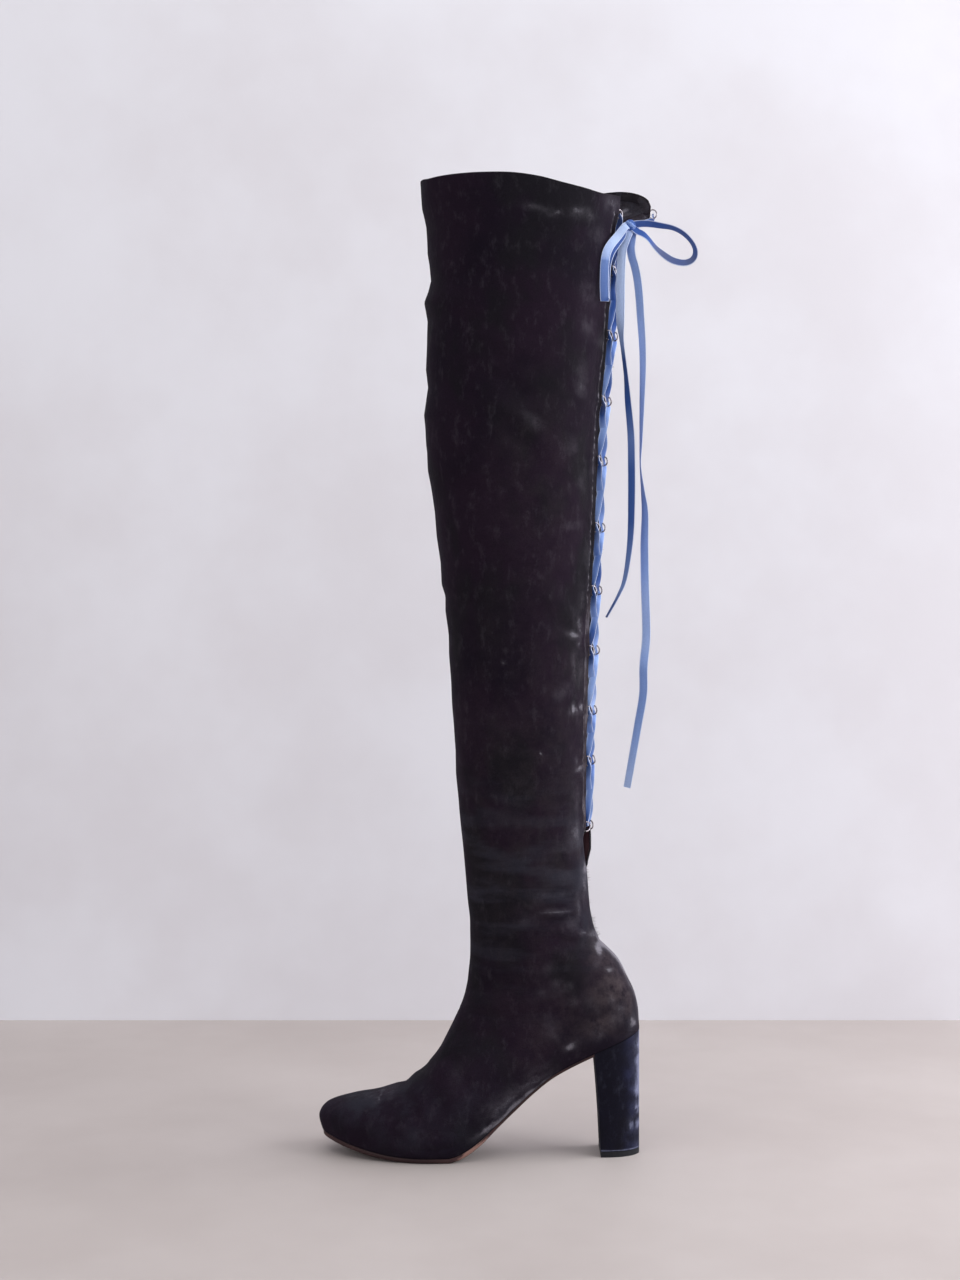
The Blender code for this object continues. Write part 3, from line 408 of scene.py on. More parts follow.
# Rubbed lines of the outer side: strength, half width and the points x, z that each follows.
Rubbed = namedtuple("Rubbed", "strength width points")
RUBBED = (
    Rubbed(0.80, 3.2, ((-42, 68), (-58, 56), (-74, 44), (-90, 31), (-104, 21), (-114, 14))),
    Rubbed(0.48, 7.0, ((-46, 72), (-62, 62), (-78, 50), (-94, 38), (-108, 28))),
)

# How far the slit's near and far edges stand out from the solid's, in millimetres: height, reach.
NEAR_REACH = ((212, 0), (220, -1.4), (231, -2.6), (240, -1.0), (246, 0))
FAR_REACH = (
    (205, 0), (216, 1.6), (226, 2.8), (238, 2.4), (246, 0.8), (258, 0), (392, 0), (402, 1.6), (418, 0.7),
    (428, 1.4), (440, 2.3), (455, 2.1), (466, 0.7), (475, 0), (560, 0), (575, 1.4), (590, 2.0),
    (604, 1.7), (616, 0.3), (630, 0),
)

# Pale share and dark share of each layer of the turned edge, from the skin over to its inside.
# The dark share is painted shade in the fold.
RIM_LIGHT = (0.30, 0.25, 0.20, 0.20, 0.25, 0.35, 0.75, 0.45, 0.30)
RIM_DEEP = (0.50, 0.50, 0.45, 0.40, 0.30, 0.20, 0.05, 0.15, 0.25)

Section = namedtuple("Section", "front back half end square centre lips spread collar_bend")
FootAt = namedtuple("FootAt", ("row", *Foot._fields))


# Section functions of the solid


def smooth(table, column, at, key="along"):
    xs = [getattr(row, key) for row in table]
    ys = [getattr(row, column) for row in table]
    at = min(max(at, xs[0]), xs[-1])
    slopes = [(ys[i + 1] - ys[i]) / (xs[i + 1] - xs[i]) for i in range(len(xs) - 1)]
    tangents = [slopes[0]]
    for before, after in zip(slopes, slopes[1:]):
        tangents.append(2 * before * after / (before + after) if before * after > 0 else 0.0)
    tangents.append(slopes[-1])
    i = max(k for k in range(len(xs) - 1) if xs[k] <= at)
    span = xs[i + 1] - xs[i]
    t = (at - xs[i]) / span
    return (
        ys[i] * (1 + 2 * t) * (1 - t) ** 2
        + ys[i + 1] * t * t * (3 - 2 * t)
        + tangents[i] * span * t * (1 - t) ** 2
        - tangents[i + 1] * span * t * t * (1 - t)
    )


def ease(at, low, high):
    t = min(max((at - low) / (high - low), 0.0), 1.0)
    return t * t * (3 - 2 * t)


def floor_x(along):
    return HEEL_BACK - along * FOOT_LENGTH


def bottom_z(along):
    lift = smooth(BOTTOM_LINE, "lift", along)
    spring = smooth(BOTTOM_LINE, "spring", along)
    return SOLE_THICKNESS + GAP + lift * HEEL_RISE + spring * TOE_SPRING


def bottom_slope(along):
    step = 0.004
    low, high = max(along - step, 0.0), min(along + step, 1.0)
    return (bottom_z(high) - bottom_z(low)) / ((high - low) * FOOT_LENGTH)


def toe_round(along):
    share = max(along - TOE_ROUND_START, 0.0) / (1 - TOE_ROUND_START)
    return math.sqrt(max(1 - share * share, 0.0))


def heel_round(along):
    share = min(along / HEEL_ROUND_END, 1.0)
    return math.sqrt(max(1 - (1 - share) ** 2, 0.0))


def body_half(along):
    return smooth(OUTLINE, "half", along) * BALL_WIDTH * toe_round(along)


def bottom_half(along):
    return body_half(along) * heel_round(along)


def centre_y(along):
    return smooth(OUTLINE, "centre", along) * BALL_WIDTH


def foot_section(row):
    numbered = [FootAt(i, *values) for i, values in enumerate(FOOT_SECTIONS)]
    along, up, front, lift, body, bulge, square = (
        smooth(numbered, column, row, key="row") for column in Foot._fields
    )
    top = SOLE_THICKNESS + GAP + lift * HEEL_RISE + body * ANKLE_RISE
    top = max(top, bottom_z(along))
    back = Vector((floor_x(along), centre_y(along), bottom_z(along)))
    if up > 0:
        back.z = bottom_z(0.0) + up * ANKLE_RISE
    return Section(
        front=Vector((floor_x(front), centre_y(along), top)),
        back=back,
        half=body_half(along) * bulge,
        end=bottom_half(along) if up == 0 else 0.0,
        square=square,
        centre=centre_y(along),
        lips=(0.0, 0.0),
        spread=0.0,
        collar_bend=0.0,
    )


ANKLE = foot_section(0)


def leg_section(up):
    front, back, girth, lip = (
        smooth(LEG_SECTIONS, column, up, key="up") for column in Leg._fields[1:]
    )
    z = ANKLE.front.z + up * LEG_HEIGHT
    narrowest = ANKLE.back.x - LEG_SECTIONS[0].back * BACK_FLARE
    open_share = ease(up, SLIT_START, SLIT_START + SLIT_OPENING_LENGTH)
    tab = ease(up, TAB_START, TAB_FULL)
    return Section(
        front=Vector((ANKLE.front.x - front * FRONT_FLARE, 0, z)),
        back=Vector((narrowest + back * BACK_FLARE, 0, z)),
        half=ANKLE.half + girth * (THIGH_WIDTH / 2 - ANKLE.half),
        end=SLIT_HALF_GAP * open_share,
        square=LEG_SQUARE,
        centre=0.0,
        lips=(lip * OUTER_LIP, lip * INNER_LIP + tab * TAB_REACH),
        spread=tab * TAB_SPREAD,
        collar_bend=ease(up, COLLAR_BEND_START, 1.0),
    )


def collar_drop(across, side, turn):
    drop = COLLAR_DIP * smooth(COLLAR, "outer" if side < 0 else "inner", across, key="across")
    if side > 0:
        corner = max(turn - TAB_CORNER_START, 0.0) / (1 - TAB_CORNER_START)
        drop += TAB_CORNER * (1 - math.sqrt(1 - corner * corner))
    return drop


def superellipse(angle, square):
    c, s = math.cos(angle), max(math.sin(angle), 0.0)
    return math.copysign(abs(c) ** (2 / square), c), s ** (2 / square)


def section_point(section, side, turn):
    end_share = min(section.end / section.half, 1.0) if section.half > 0 else 1.0
    last = math.pi - math.asin(end_share ** (section.square / 2))
    c_last, _ = superellipse(last, section.square)
    c, s = superellipse(turn * last, section.square)
    across = (1 - c) / (1 - c_last)
    point = section.front.lerp(section.back, across)
    point.y = section.centre + side * section.half * s
    pulled = 2 * ease(turn, LIP_START, 2 - LIP_START)
    point.x += section.lips[0 if side < 0 else 1] * pulled
    if side > 0:
        point.y += section.spread * pulled
    if section.collar_bend > 0:
        point.z -= section.collar_bend * collar_drop(across, side, turn)
    return point


def eye_up(number, side):
    up = EYE_LOWEST + EYE_STEPS[number] * (EYE_HIGHEST - EYE_LOWEST)
    on_tab = side > 0 and number == len(EYE_STEPS) - 1
    return up + TAB_EYE_RISE if on_tab else up


def slit_edge(up, side):
    section = leg_section(up)
    at = section_point(section, side, 1.0)
    out = at - section_point(section, side, 0.985)
    out = Vector((out.x, out.y, 0)).normalized()
    normal = Vector((-out.y, out.x, 0)) * side
    return at - normal * WALL / 2, out


def eye_seat(number, side):
    at, out = slit_edge(eye_up(number, side), side)
    return at, (out + Vector((EYE_PULL, 0, 0))).normalized()


def eye_middle(number, side):
    at, out = eye_seat(number, side)
    return at + out * (GAP + EYE_REACH)


def eye_foot(number, side, way):
    up = eye_up(number, side) + way * EYE_HALF_HEIGHT / LEG_HEIGHT
    return slit_edge(up, side)[0]


# Materials


class Shader:
    """A Principled material whose nodes are added by short calls. None leaves a socket alone."""

    def __init__(self, name, colour, roughness=0.5, metallic=0.0):
        self.material = bpy.data.materials.new(name)
        self.material.use_nodes = True
        self.material.diffuse_color = (*colour, 1)
        self.nodes = self.material.node_tree.nodes
        self.links = self.material.node_tree.links
        self.shader = self.nodes["Principled BSDF"]
        self.set(Base_Color=colour, Roughness=roughness, Metallic=metallic)
        self.place = self.nodes.new("ShaderNodeTexCoord").outputs["Object"]

    def put(self, node, socket, value):
        """Links or sets an input of a node. Colours have three numbers."""
        into = node.inputs[socket]
        if isinstance(value, bpy.types.NodeSocket):
            self.links.new(value, into)
        elif value is not None:
            into.default_value = (*value, 1) if into.type == "RGBA" else value

    def set(self, **sockets):
        for name, value in sockets.items():
            self.put(self.shader, name.replace("_", " "), value)

    def attribute(self, name):
        node = self.nodes.new("ShaderNodeAttribute")
        node.attribute_name = name
        return node.outputs["Fac"]

    def stretch(self, x, y, z):
        node = self.nodes.new("ShaderNodeMapping")
        self.put(node, "Vector", self.place)
        self.put(node, "Scale", (x, y, z))
        return node.outputs["Vector"]

    def noise(self, scale, detail=3.0, rough=0.5, place=None):
        node = self.nodes.new("ShaderNodeTexNoise")
        self.put(node, "Vector", place or self.place)
        self.put(node, "Scale", scale)
        self.put(node, "Detail", detail)
        self.put(node, "Roughness", rough)
        return node.outputs["Fac"]

    def math(self, operation, one, two=None, three=None):
        node = self.nodes.new("ShaderNodeMath")
        node.operation = operation
        for i, value in enumerate((one, two, three)):
            self.put(node, i, value)
        return node.outputs[0]

    def ramp(self, value, low, high, to_low=0.0, to_high=1.0):
        node = self.nodes.new("ShaderNodeMapRange")
        node.interpolation_type = "SMOOTHSTEP"
        self.put(node, "Value", value)
        self.put(node, "From Min", low)
        self.put(node, "From Max", high)
        self.put(node, "To Min", to_low)
        self.put(node, "To Max", to_high)
        return node.outputs["Result"]

    def mix(self, share, one, two):
        node = self.nodes.new("ShaderNodeMix")
        node.data_type = "RGBA"
        node.clamp_factor = True
        for socket, value in ((0, share), (6, one), (7, two)):
            self.put(node, socket, value)
        return node.outputs[2]

    def bump(self, height, distance, strength=1.0, after=None):
        node = self.nodes.new("ShaderNodeBump")
        self.put(node, "Height", height)
        self.put(node, "Distance", distance)
        self.put(node, "Strength", strength)
        self.put(node, "Normal", after)
        return node.outputs["Normal"]


def velvet(name, dark, plum, grey, pale, brown, blue):
    """Short worn pile in big soft patches of tone, rubbed pale, with painted sheen, highlights and shade
    where the attributes say.
    """
    s = Shader(name, dark, 0.85)
    colour = s.mix(s.ramp(s.noise(13.0, 3.0, 0.55), 0.36, 0.62), dark, plum)
    colour = s.mix(s.ramp(s.noise(19.0, 3.0, 0.55, s.stretch(1.0, 1.4, 0.7)), 0.46, 0.66), colour, grey)
    bands = s.ramp(s.noise(24.0, 4.0, 0.55, s.stretch(0.6, 1.0, 3.2)), 0.44, 0.68)
    colour = s.mix(s.math("MULTIPLY", bands, s.attribute("band")), colour, blue)
    brushed = s.noise(160.0, 4.0, 0.65, s.stretch(1.0, 1.0, 0.5))
    colour = s.mix(s.ramp(brushed, 0.5, 0.8, 0.0, 0.07), colour, pale)
    rubbed = s.math("MULTIPLY", s.attribute("dust"), s.ramp(s.noise(60.0, 5.0, 0.7), 0.34, 0.66, 0.1, 1.0))
    colour = s.mix(rubbed, colour, brown)
    # Painted sheen: a blue-grey highlight mixed in where the attribute says.
    bloom = s.math("MULTIPLY", s.attribute("bloom"), s.ramp(s.noise(55.0, 4.0, 0.6), 0.36, 0.66, 0.1, 1.0))
    colour = s.mix(bloom, colour, blue)
    # Painted shade: darkened toward black where the deep attribute says.
    colour = s.mix(s.math("MULTIPLY", s.attribute("deep"), 0.8), colour, (0.0012, 0.0011, 0.0014))
    # The light attribute holds worn, bare nap and also painted highlights; both are mixed toward pale here.
    broken = s.math("MULTIPLY", s.noise(330.0, 7.0, 0.85), -1.5)
    worn = s.math("MULTIPLY_ADD", s.attribute("light"), 1.5, broken)
    worn = s.ramp(worn, -0.15, 0.75, 0.0, 0.85)
    haze = s.math("MULTIPLY", s.attribute("light"), s.ramp(s.noise(110.0, 4.0, 0.7), 0.32, 0.7, 0.08, 0.34))
    colour = s.mix(haze, colour, pale)
    colour = s.mix(worn, colour, pale)
    pores = s.ramp(s.noise(1500.0, 2.0, 0.6), 0.35, 0.75, 0.0, 0.35)
    colour = s.mix(pores, colour, (0.0008, 0.0008, 0.001))
    seam = s.ramp(s.math("ABSOLUTE", s.attribute("seam")), 0.0002, 0.0008, 1.0, 0.0)
    colour = s.mix(s.math("MULTIPLY", seam, 0.5), colour, (0.001, 0.001, 0.001))
    s.set(Base_Color=colour, Roughness=s.ramp(worn, 0.0, 0.8, 0.85, 0.55))
    s.set(Sheen_Weight=0.05, Sheen_Roughness=0.4, Sheen_Tint=(0.40, 0.36, 0.48))
    s.set(Specular_IOR_Level=0.07)
    normal = s.bump(s.noise(34.0, 4.0, 0.55, s.stretch(0.8, 1.0, 1.2)), 0.0018, 0.5)
    normal = s.bump(brushed, 0.0004, 0.5, normal)
    normal = s.bump(seam, 0.0006, 0.8, normal)
    normal = s.bump(s.noise(2600.0, 2.0, 0.6), 0.00022, 0.7, normal)
    s.set(Normal=normal)
    return s.material


def ribbon_cloth(name, face, deep, edge, pale, dull):
    """Narrow velvet ribbon: soft pile down the middle and a lighter woven selvedge.

    Its tone runs from -1, pale, over 0, the face, and 1, deep, to 2, the dull back. Pale and deep
    are painted light and shade; the dull back is the ribbon's own reverse.
    """
    s = Shader(name, face, 0.7)
    across = s.math("ABSOLUTE", s.attribute("across"))
    lie = s.ramp(s.noise(120.0, 3.0, 0.6, s.stretch(1.0, 1.0, 0.25)), 0.3, 0.72)
    tone = s.attribute("tone")
    colour = s.mix(s.math("MULTIPLY", lie, 0.16), face, deep)
    # Painted light and shade: pale where the tone is below 0, deep where it rises to 1.
    colour = s.mix(s.math("MULTIPLY", tone, -1.0), colour, pale)
    colour = s.mix(tone, colour, deep)
    colour = s.mix(s.math("SUBTRACT", tone, 1.0), colour, dull)
    rim = s.ramp(across, 0.80, 0.90)
    colour = s.mix(s.math("MULTIPLY", rim, 0.7), colour, edge)
    thread = s.noise(1900.0, 2.0, 0.5, s.stretch(1.0, 1.0, 0.6))
    colour = s.mix(s.ramp(thread, 0.3, 0.8, 0.0, 0.18), colour, deep)
    s.set(Base_Color=colour, Roughness=0.62, Specular_IOR_Level=0.3)
    s.set(Sheen_Weight=0.3, Sheen_Roughness=0.35, Sheen_Tint=(0.75, 0.82, 1.0))
    normal = s.bump(thread, 0.00012, 0.6)
    normal = s.bump(s.ramp(across, 0.74, 0.84), 0.00025, 0.7, normal)
    s.set(Normal=s.bump(lie, 0.0005, 0.35, normal))
    return s.material


def leather(name, base, worn, deep, gloss):
    """Fine-grained leather, worn lighter in patches and darker in spots."""
    s = Shader(name, base, gloss)
    tone = s.ramp(s.noise(35.0, 5.0, 0.65), 0.3, 0.72)
    colour = s.mix(tone, base, worn)
    colour = s.mix(s.ramp(s.noise(160.0, 4.0, 0.7), 0.52, 0.75, 0.0, 0.6), colour, deep)
    s.set(Base_Color=colour, Roughness=s.ramp(tone, 0.0, 1.0, gloss - 0.1, gloss + 0.15))
    s.set(Specular_IOR_Level=0.35)
    normal = s.bump(s.noise(1400.0, 3.0, 0.6), 0.00015, 0.6)
    s.set(Normal=s.bump(s.noise(240.0, 5.0, 0.6), 0.0004, 0.4, normal))
    return s.material


def wire_metal(name, base, tarnish):
    """Bright wire with dull spots."""
    s = Shader(name, base, 0.35, 1.0)
    spots = s.ramp(s.noise(500.0, 4.0, 0.7), 0.35, 0.65)
    s.set(Base_Color=s.mix(spots, base, tarnish), Roughness=s.ramp(spots, 0.0, 1.0, 0.28, 0.55))
    s.set(Normal=s.bump(s.noise(1800.0, 3.0, 0.6), 0.0001, 0.5))
    return s.material


def thread_cloth(name, base, pale):
    """Twisted thread of two close tones."""
    s = Shader(name, base, 0.8)
    twist = s.noise(2400.0, 2.0, 0.6)
    s.set(Base_Color=s.mix(twist, base, pale), Sheen_Weight=0.2, Specular_IOR_Level=0.2)
    s.set(Normal=s.bump(twist, 0.00015, 0.8))
    return s.material


def plain_stage(name, base, spots, scale):
    """A floor or wall with wide, faint spots."""
    s = Shader(name, base, 0.6)
    s.set(Base_Color=s.mix(s.ramp(s.noise(scale, 4.0, 0.6), 0.3, 0.7), base, spots))
    s.set(Specular_IOR_Level=0.25)
    s.set(Normal=s.bump(s.noise(scale * 12, 4.0, 0.6), 0.0004, 0.3))
    return s.material


VELVET = velvet(
    "velvet",
    dark=(0.0088, 0.0056, 0.0122),
    plum=(0.0150, 0.0080, 0.0170),
    grey=(0.0100, 0.0086, 0.0124),
    pale=(0.230, 0.215, 0.250),
    brown=(0.070, 0.054, 0.060),
    blue=(0.0250, 0.0240, 0.0350),
)
HEEL_VELVET = velvet(
    "heel_velvet",
    dark=(0.0078, 0.0074, 0.0140),
    plum=(0.0108, 0.0100, 0.0205),
    grey=(0.0088, 0.0080, 0.0120),
    pale=(0.240, 0.255, 0.380),
    brown=(0.030, 0.030, 0.046),
    blue=(0.0290, 0.0320, 0.0800),
)
LINING = leather("lining", (0.120, 0.056, 0.070), (0.165, 0.082, 0.095), (0.052, 0.024, 0.030), 0.55)
INSOLE = leather("insole_leather", (0.160, 0.085, 0.060), (0.210, 0.125, 0.090), (0.090, 0.045, 0.030), 0.5)
TIP = leather("tip_rubber", (0.005, 0.005, 0.008), (0.010, 0.010, 0.014), (0.003, 0.003, 0.004), 0.6)
WIRE = wire_metal("wire", (0.60, 0.55, 0.58), (0.14, 0.11, 0.12))
RIBBON = ribbon_cloth(
    "ribbon",
    face=(0.34, 0.49, 0.90),
    deep=(0.035, 0.100, 0.37),
    edge=(0.72, 0.80, 1.0),
    pale=(0.58, 0.71, 1.0),
    dull=(0.098, 0.120, 0.245),
)
THREAD = thread_cloth("thread", (0.006, 0.005, 0.007), (0.018, 0.016, 0.019))
PALE_THREAD = thread_cloth("pale_thread", (0.30, 0.28, 0.29), (0.55, 0.52, 0.53))


def sole_finish():
    """Dark red leather, rubbed down to pink where the sole bends up from the ball."""
    s = Shader("sole_leather", (0.05, 0.02, 0.02), 0.5)
    tone = s.ramp(s.noise(40.0, 5.0, 0.65, s.stretch(0.4, 1.0, 1.0)), 0.32, 0.7)
    colour = s.mix(tone, (0.026, 0.010, 0.012), (0.062, 0.028, 0.028))
    broken = s.math("MULTIPLY", s.noise(190.0, 5.0, 0.75), -0.9)
    rub = s.math("MULTIPLY_ADD", s.attribute("light"), 1.2, broken)
    colour = s.mix(s.ramp(rub, 0.0, 0.4, 0.0, 0.85), colour, (0.33, 0.185, 0.155))
    stains = s.ramp(s.noise(70.0, 5.0, 0.7), 0.35, 0.65)
    tread = s.mix(stains, (0.080, 0.058, 0.056), (0.046, 0.030, 0.030))
    colour = s.mix(s.attribute("dust"), colour, tread)
    s.set(Base_Color=colour, Roughness=s.ramp(tone, 0.0, 1.0, 0.42, 0.62), Specular_IOR_Level=0.3)
    normal = s.bump(s.noise(1300.0, 3.0, 0.6), 0.00015, 0.6)
    s.set(Normal=s.bump(s.noise(230.0, 5.0, 0.6, s.stretch(0.3, 1.0, 1.0)), 0.0004, 0.4, normal))
    return s.material


SOLE = sole_finish()


# Camera, light and the ground

PHOTO_LONG_SIDE = 1280
LENS = 54.53
HORIZON_OFFSET = (-15, -72)
CAMERA_PLACE = (-0.0933, -1.45, 0.4361)
ROOM_LIGHT = 0.48
ROOM_COLOUR = (0.86, 0.88, 0.93, 1)

eye_point = bpy.data.cameras.new("camera")
eye_point.lens = LENS
eye_point.sensor_width = 36
eye_point.shift_x = HORIZON_OFFSET[0] / PHOTO_LONG_SIDE
eye_point.shift_y = HORIZON_OFFSET[1] / PHOTO_LONG_SIDE
eye_point.clip_start = 0.01
camera = bpy.data.objects.new("camera", eye_point)
camera.location = CAMERA_PLACE
camera.rotation_euler = (math.pi / 2, 0, 0)
bpy.context.scene.collection.objects.link(camera)
bpy.context.scene.camera = camera


def lamp(name, place, target, power, size, colour):
    data = bpy.data.lights.new(name, "AREA")
    data.energy = power
    data.size = size
    data.color = colour
    made = bpy.data.objects.new(name, data)
    made.location = place
    made.rotation_euler = (Vector(target) - Vector(place)).to_track_quat("-Z", "Y").to_euler()
    bpy.context.scene.collection.objects.link(made)


lamp("window", (1.8, -0.45, 1.1), (-0.05, 0, 0.35), 41, 1.7, (0.95, 0.97, 1.0))
lamp("rim", (1.3, 0.34, 0.8), (-0.05, 0, 0.35), 5, 0.4, (0.95, 0.96, 1.0))
lamp("ceiling", (-0.2, -0.5, 2.3), (-0.05, 0.1, 0.2), 19, 2.4, (1.0, 0.99, 0.97))
lamp("fill", (-1.7, -1.4, 0.9), (-0.05, 0, 0.35), 6, 1.6, (1.0, 0.98, 0.97))

world = bpy.data.worlds.new("room")
world.use_nodes = True
world.node_tree.nodes["Background"].inputs["Color"].default_value = ROOM_COLOUR
world.node_tree.nodes["Background"].inputs["Strength"].default_value = ROOM_LIGHT
bpy.context.scene.world = world
bpy.context.scene.view_settings.view_transform = "Standard"


def mesh_object(name, points, faces, material, smooth_angle=40):
    data = bpy.data.meshes.new(name)
    data.from_pydata([tuple(p) for p in points], [], [tuple(f) for f in faces])
    data.materials.append(material)
    data.shade_smooth()
    if smooth_angle < 180:
        data.set_sharp_from_angle(angle=math.radians(smooth_angle))
    made = bpy.data.objects.new(name, data)
    bpy.context.scene.collection.objects.link(made)
    return made


def give(made, **fields):
    """Numbers at the points of the mesh, which the materials read. One number goes to all."""
    for name, values in fields.items():
        layer = made.data.attributes.new(name, "FLOAT", "POINT")
        numbers = np.full(len(made.data.vertices), values, dtype=np.float32)
        layer.data.foreach_set("value", numbers)


def bell(gap, width):
    """1 where the gap is 0, falling off softly over the width."""
    return np.exp(-((gap / width) ** 2))


def unit(rows):
    return rows / np.linalg.norm(rows, axis=-1, keepdims=True)


def directions(points):
    return unit(np.gradient(points, axis=0))


def ring_quads(rings, count):
    """Quads between closed rings of points, count in each."""
    quads = []
    for low in range(0, (rings - 1) * count, count):
        for k in range(count):
            j = (k + 1) % count
            quads.append((low + k, low + j, low + count + j, low + count + k))
    return quads


def end_caps(rings, count):
    """The faces that close the first ring and the last."""
    last = (rings - 1) * count
    return [tuple(range(count))[::-1], tuple(range(last, last + count))]


def noise_at(points, scale, offset=(0, 0, 0)):
    """Smooth noise at each point, whose numbers are scaled and then moved."""
    return np.array([noise.noise(Vector(place)) for place in points * np.array(scale) + offset])


WALL_Y = 0.42
WALL_TOP = 2.6
SIDE = 3.0
FLOOR_FRONT = -3.2
ground = mesh_object(
    "floor",
    [(-SIDE, FLOOR_FRONT, 0), (SIDE, FLOOR_FRONT, 0), (SIDE, WALL_Y, 0), (-SIDE, WALL_Y, 0)],
    [(0, 1, 2, 3)],
    plain_stage("floor", (0.475, 0.420, 0.402), (0.525, 0.470, 0.452), 4.0),
)
backdrop = mesh_object(
    "backdrop",
    [(-SIDE, WALL_Y, 0), (SIDE, WALL_Y, 0), (SIDE, WALL_Y, WALL_TOP), (-SIDE, WALL_Y, WALL_TOP)],
    [(0, 1, 2, 3)],
    plain_stage("wall", (0.772, 0.748, 0.788), (0.836, 0.826, 0.876), 4.0),
)


# Ribbon

RIBBON_THICKNESS = 0.8 * MM
RIBBON_STEP = 0.0016
BACK_SHADE = 0.25
KNOT_DEPTH = 0.55
# A ribbon's section: places across it and through it, from -1 to 1. The face is the plus side.
PROFILE = (
    (-1.00, 0.0), (-0.97, 0.38), (-0.86, 0.50), (-0.74, 0.62), (-0.30, 0.95), (0.30, 0.95),
    (0.74, 0.62), (0.86, 0.50), (0.97, 0.38), (1.00, 0.0), (0.97, -0.38), (0.74, -0.55),
    (0.0, -0.6), (-0.74, -0.55), (-0.97, -0.38),
)


def fine_route(route, step):
    """Points a step apart on a smooth curve through the route's rows, with the last column too."""
    rows = [np.array(row, dtype=float) for row in route]
    padded = [2 * rows[0] - rows[1], *rows, 2 * rows[-1] - rows[-2]]
    made = []
    for i in range(1, len(padded) - 2):
        a, b, c, d = padded[i - 1:i + 3]
        steps = max(1, round(np.linalg.norm((c - b)[:3]) / step))
        for k in range(steps):
            t = k / steps
            row = 0.5 * (2 * b + (c - a) * t + (2 * a - 5 * b + 4 * c - d) * t**2)
            made.append(row + 0.5 * (3 * b - a - 3 * c + d) * t**3)
    made.append(rows[-1])
    return np.array(made)


def ribbon_mesh(points, faces, widths, thicks, tones):
    """Points, quads and attributes of a ribbon whose broad face looks along faces."""
    runs = directions(points)
    faces = unit(faces - runs * np.sum(faces * runs, axis=1)[:, None])
    sides = np.cross(runs, faces)
    places, across, tone = [], [], []
    for i, point in enumerate(points):
        back_tone = max(tones[i], min(tones[i] + BACK_SHADE, 1.0))
        for u, v in PROFILE:
            places.append(point + sides[i] * u * widths[i] / 2 + faces[i] * v * thicks[i] / 2)
            across.append(u)
            tone.append(tones[i] if v > -0.1 else back_tone)
    quads = ring_quads(len(points), len(PROFILE)) + end_caps(len(points), len(PROFILE))
    return places, quads, across, tone


def turned_faces(points, turns):
    """Where a ribbon's face looks, turned about its run by degrees from the outer side."""
    runs = directions(points)
    outer = unit(np.array([0.0, -1.0, 0.0]) + runs * runs[:, 1:2])
    other = np.cross(runs, outer)
    angles = np.radians(turns)[:, None]
    return outer * np.cos(angles) + other * np.sin(angles)


def into_knot(row):
    """The route's end row, moved into the knot."""
    inside = np.array(row[:3]) + KNOT_DEPTH * (np.array(KNOT_MIDDLE) - np.array(row[:3]))
    return (*inside, row[3])


def free_ribbon(name, route, tones, both_ends):
    """A loop or an end of the bow, its path and its length."""
    route = [into_knot(route[0]), *route] + ([into_knot(route[-1])] if both_ends else [])
    rows = fine_route(route, RIBBON_STEP)
    points = rows[:, :3]
    count = len(points)
    shares, values = zip(*tones)
    tone = np.interp(np.linspace(0, 1, count), shares, values)
    width = np.full(count, RIBBON_WIDTH)
    thick = np.full(count, RIBBON_THICKNESS)
    places, quads, across, tone = ribbon_mesh(points, turned_faces(points, rows[:, 3]), width, thick, tone)
    made = mesh_object(name, places, quads, RIBBON, 50)
    give(made, across=across, tone=tone)
    length = float(np.sum(np.linalg.norm(np.diff(points, axis=0), axis=1)))
    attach(made, "root")
    return made, [tuple(p) for p in points], length


KNOT_ROUNDS = 28
KNOT_LEVELS = 15
WRAP_STEPS = 40
WRAP_CUTS = 9
# The ribbon's turns over the knot: slant in degrees, size, tone and half width, as shares of the core.
# Each turn's tone paints its light and shade.
Wrap = namedtuple("Wrap", "slant size tone half")
WRAPS = (Wrap(-34, 1.0, 0.35, 0.46), Wrap(38, 0.94, 0.95, 0.60), Wrap(85, 0.88, 1.1, 0.56))


def knot():
    """The bow's knot: a plump core with the ribbon wound over it, slanting down to the back."""
    places, across, tone = [], [], []
    middle = np.array(KNOT_MIDDLE)
    size = np.array(KNOT_SIZE) / 2
    for i in range(KNOT_LEVELS):
        fall = math.pi * (i + 0.5) / KNOT_LEVELS
        for k in range(KNOT_ROUNDS):
            turn = 2 * math.pi * k / KNOT_ROUNDS
            flat = math.sin(fall)
            way = np.array([flat * math.cos(turn), flat * math.sin(turn), math.cos(fall)])
            places.append(middle + way * size * (0.93 + 0.03 * math.cos(5 * turn + 3 * fall)))
            across.append(0.0)
            # The core is painted in deep shade.
            tone.append(1.0)
    quads = ring_quads(KNOT_LEVELS, KNOT_ROUNDS) + end_caps(KNOT_LEVELS, KNOT_ROUNDS)
    for wrap in WRAPS:
        lean = math.radians(wrap.slant)
        axis = unit(np.array([-math.sin(lean), 0.12, math.cos(lean)]))
        one = unit(np.cross(axis, [0.0, 1.0, 0.0]))
        two = np.cross(axis, one)
        base = len(places)
        for k in range(WRAP_STEPS):
            angle = 2 * math.pi * k / WRAP_STEPS
            way = one * math.cos(angle) + two * math.sin(angle)
            for u in np.linspace(-1, 1, WRAP_CUTS):
                spot = way * math.sqrt(1 - 0.55 * u * u) + axis * u * wrap.half
                places.append(middle + spot * size * wrap.size * (1 + 0.035 * math.cos(u * 9)))
                across.append(u * 0.98)
                tone.append(wrap.tone)
        for k in range(WRAP_STEPS):
            for c in range(WRAP_CUTS - 1):
                a = base + k * WRAP_CUTS + c
                b = base + (k + 1) % WRAP_STEPS * WRAP_CUTS + c
                quads.append((a, b, b + 1, a + 1))
    made = mesh_object("ribbon_knot", places, quads, RIBBON, 60)
    give(made, across=across, tone=tone)
    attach(made, "root")
    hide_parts("bow_knot")
    return made


BOW_KNOT = knot()
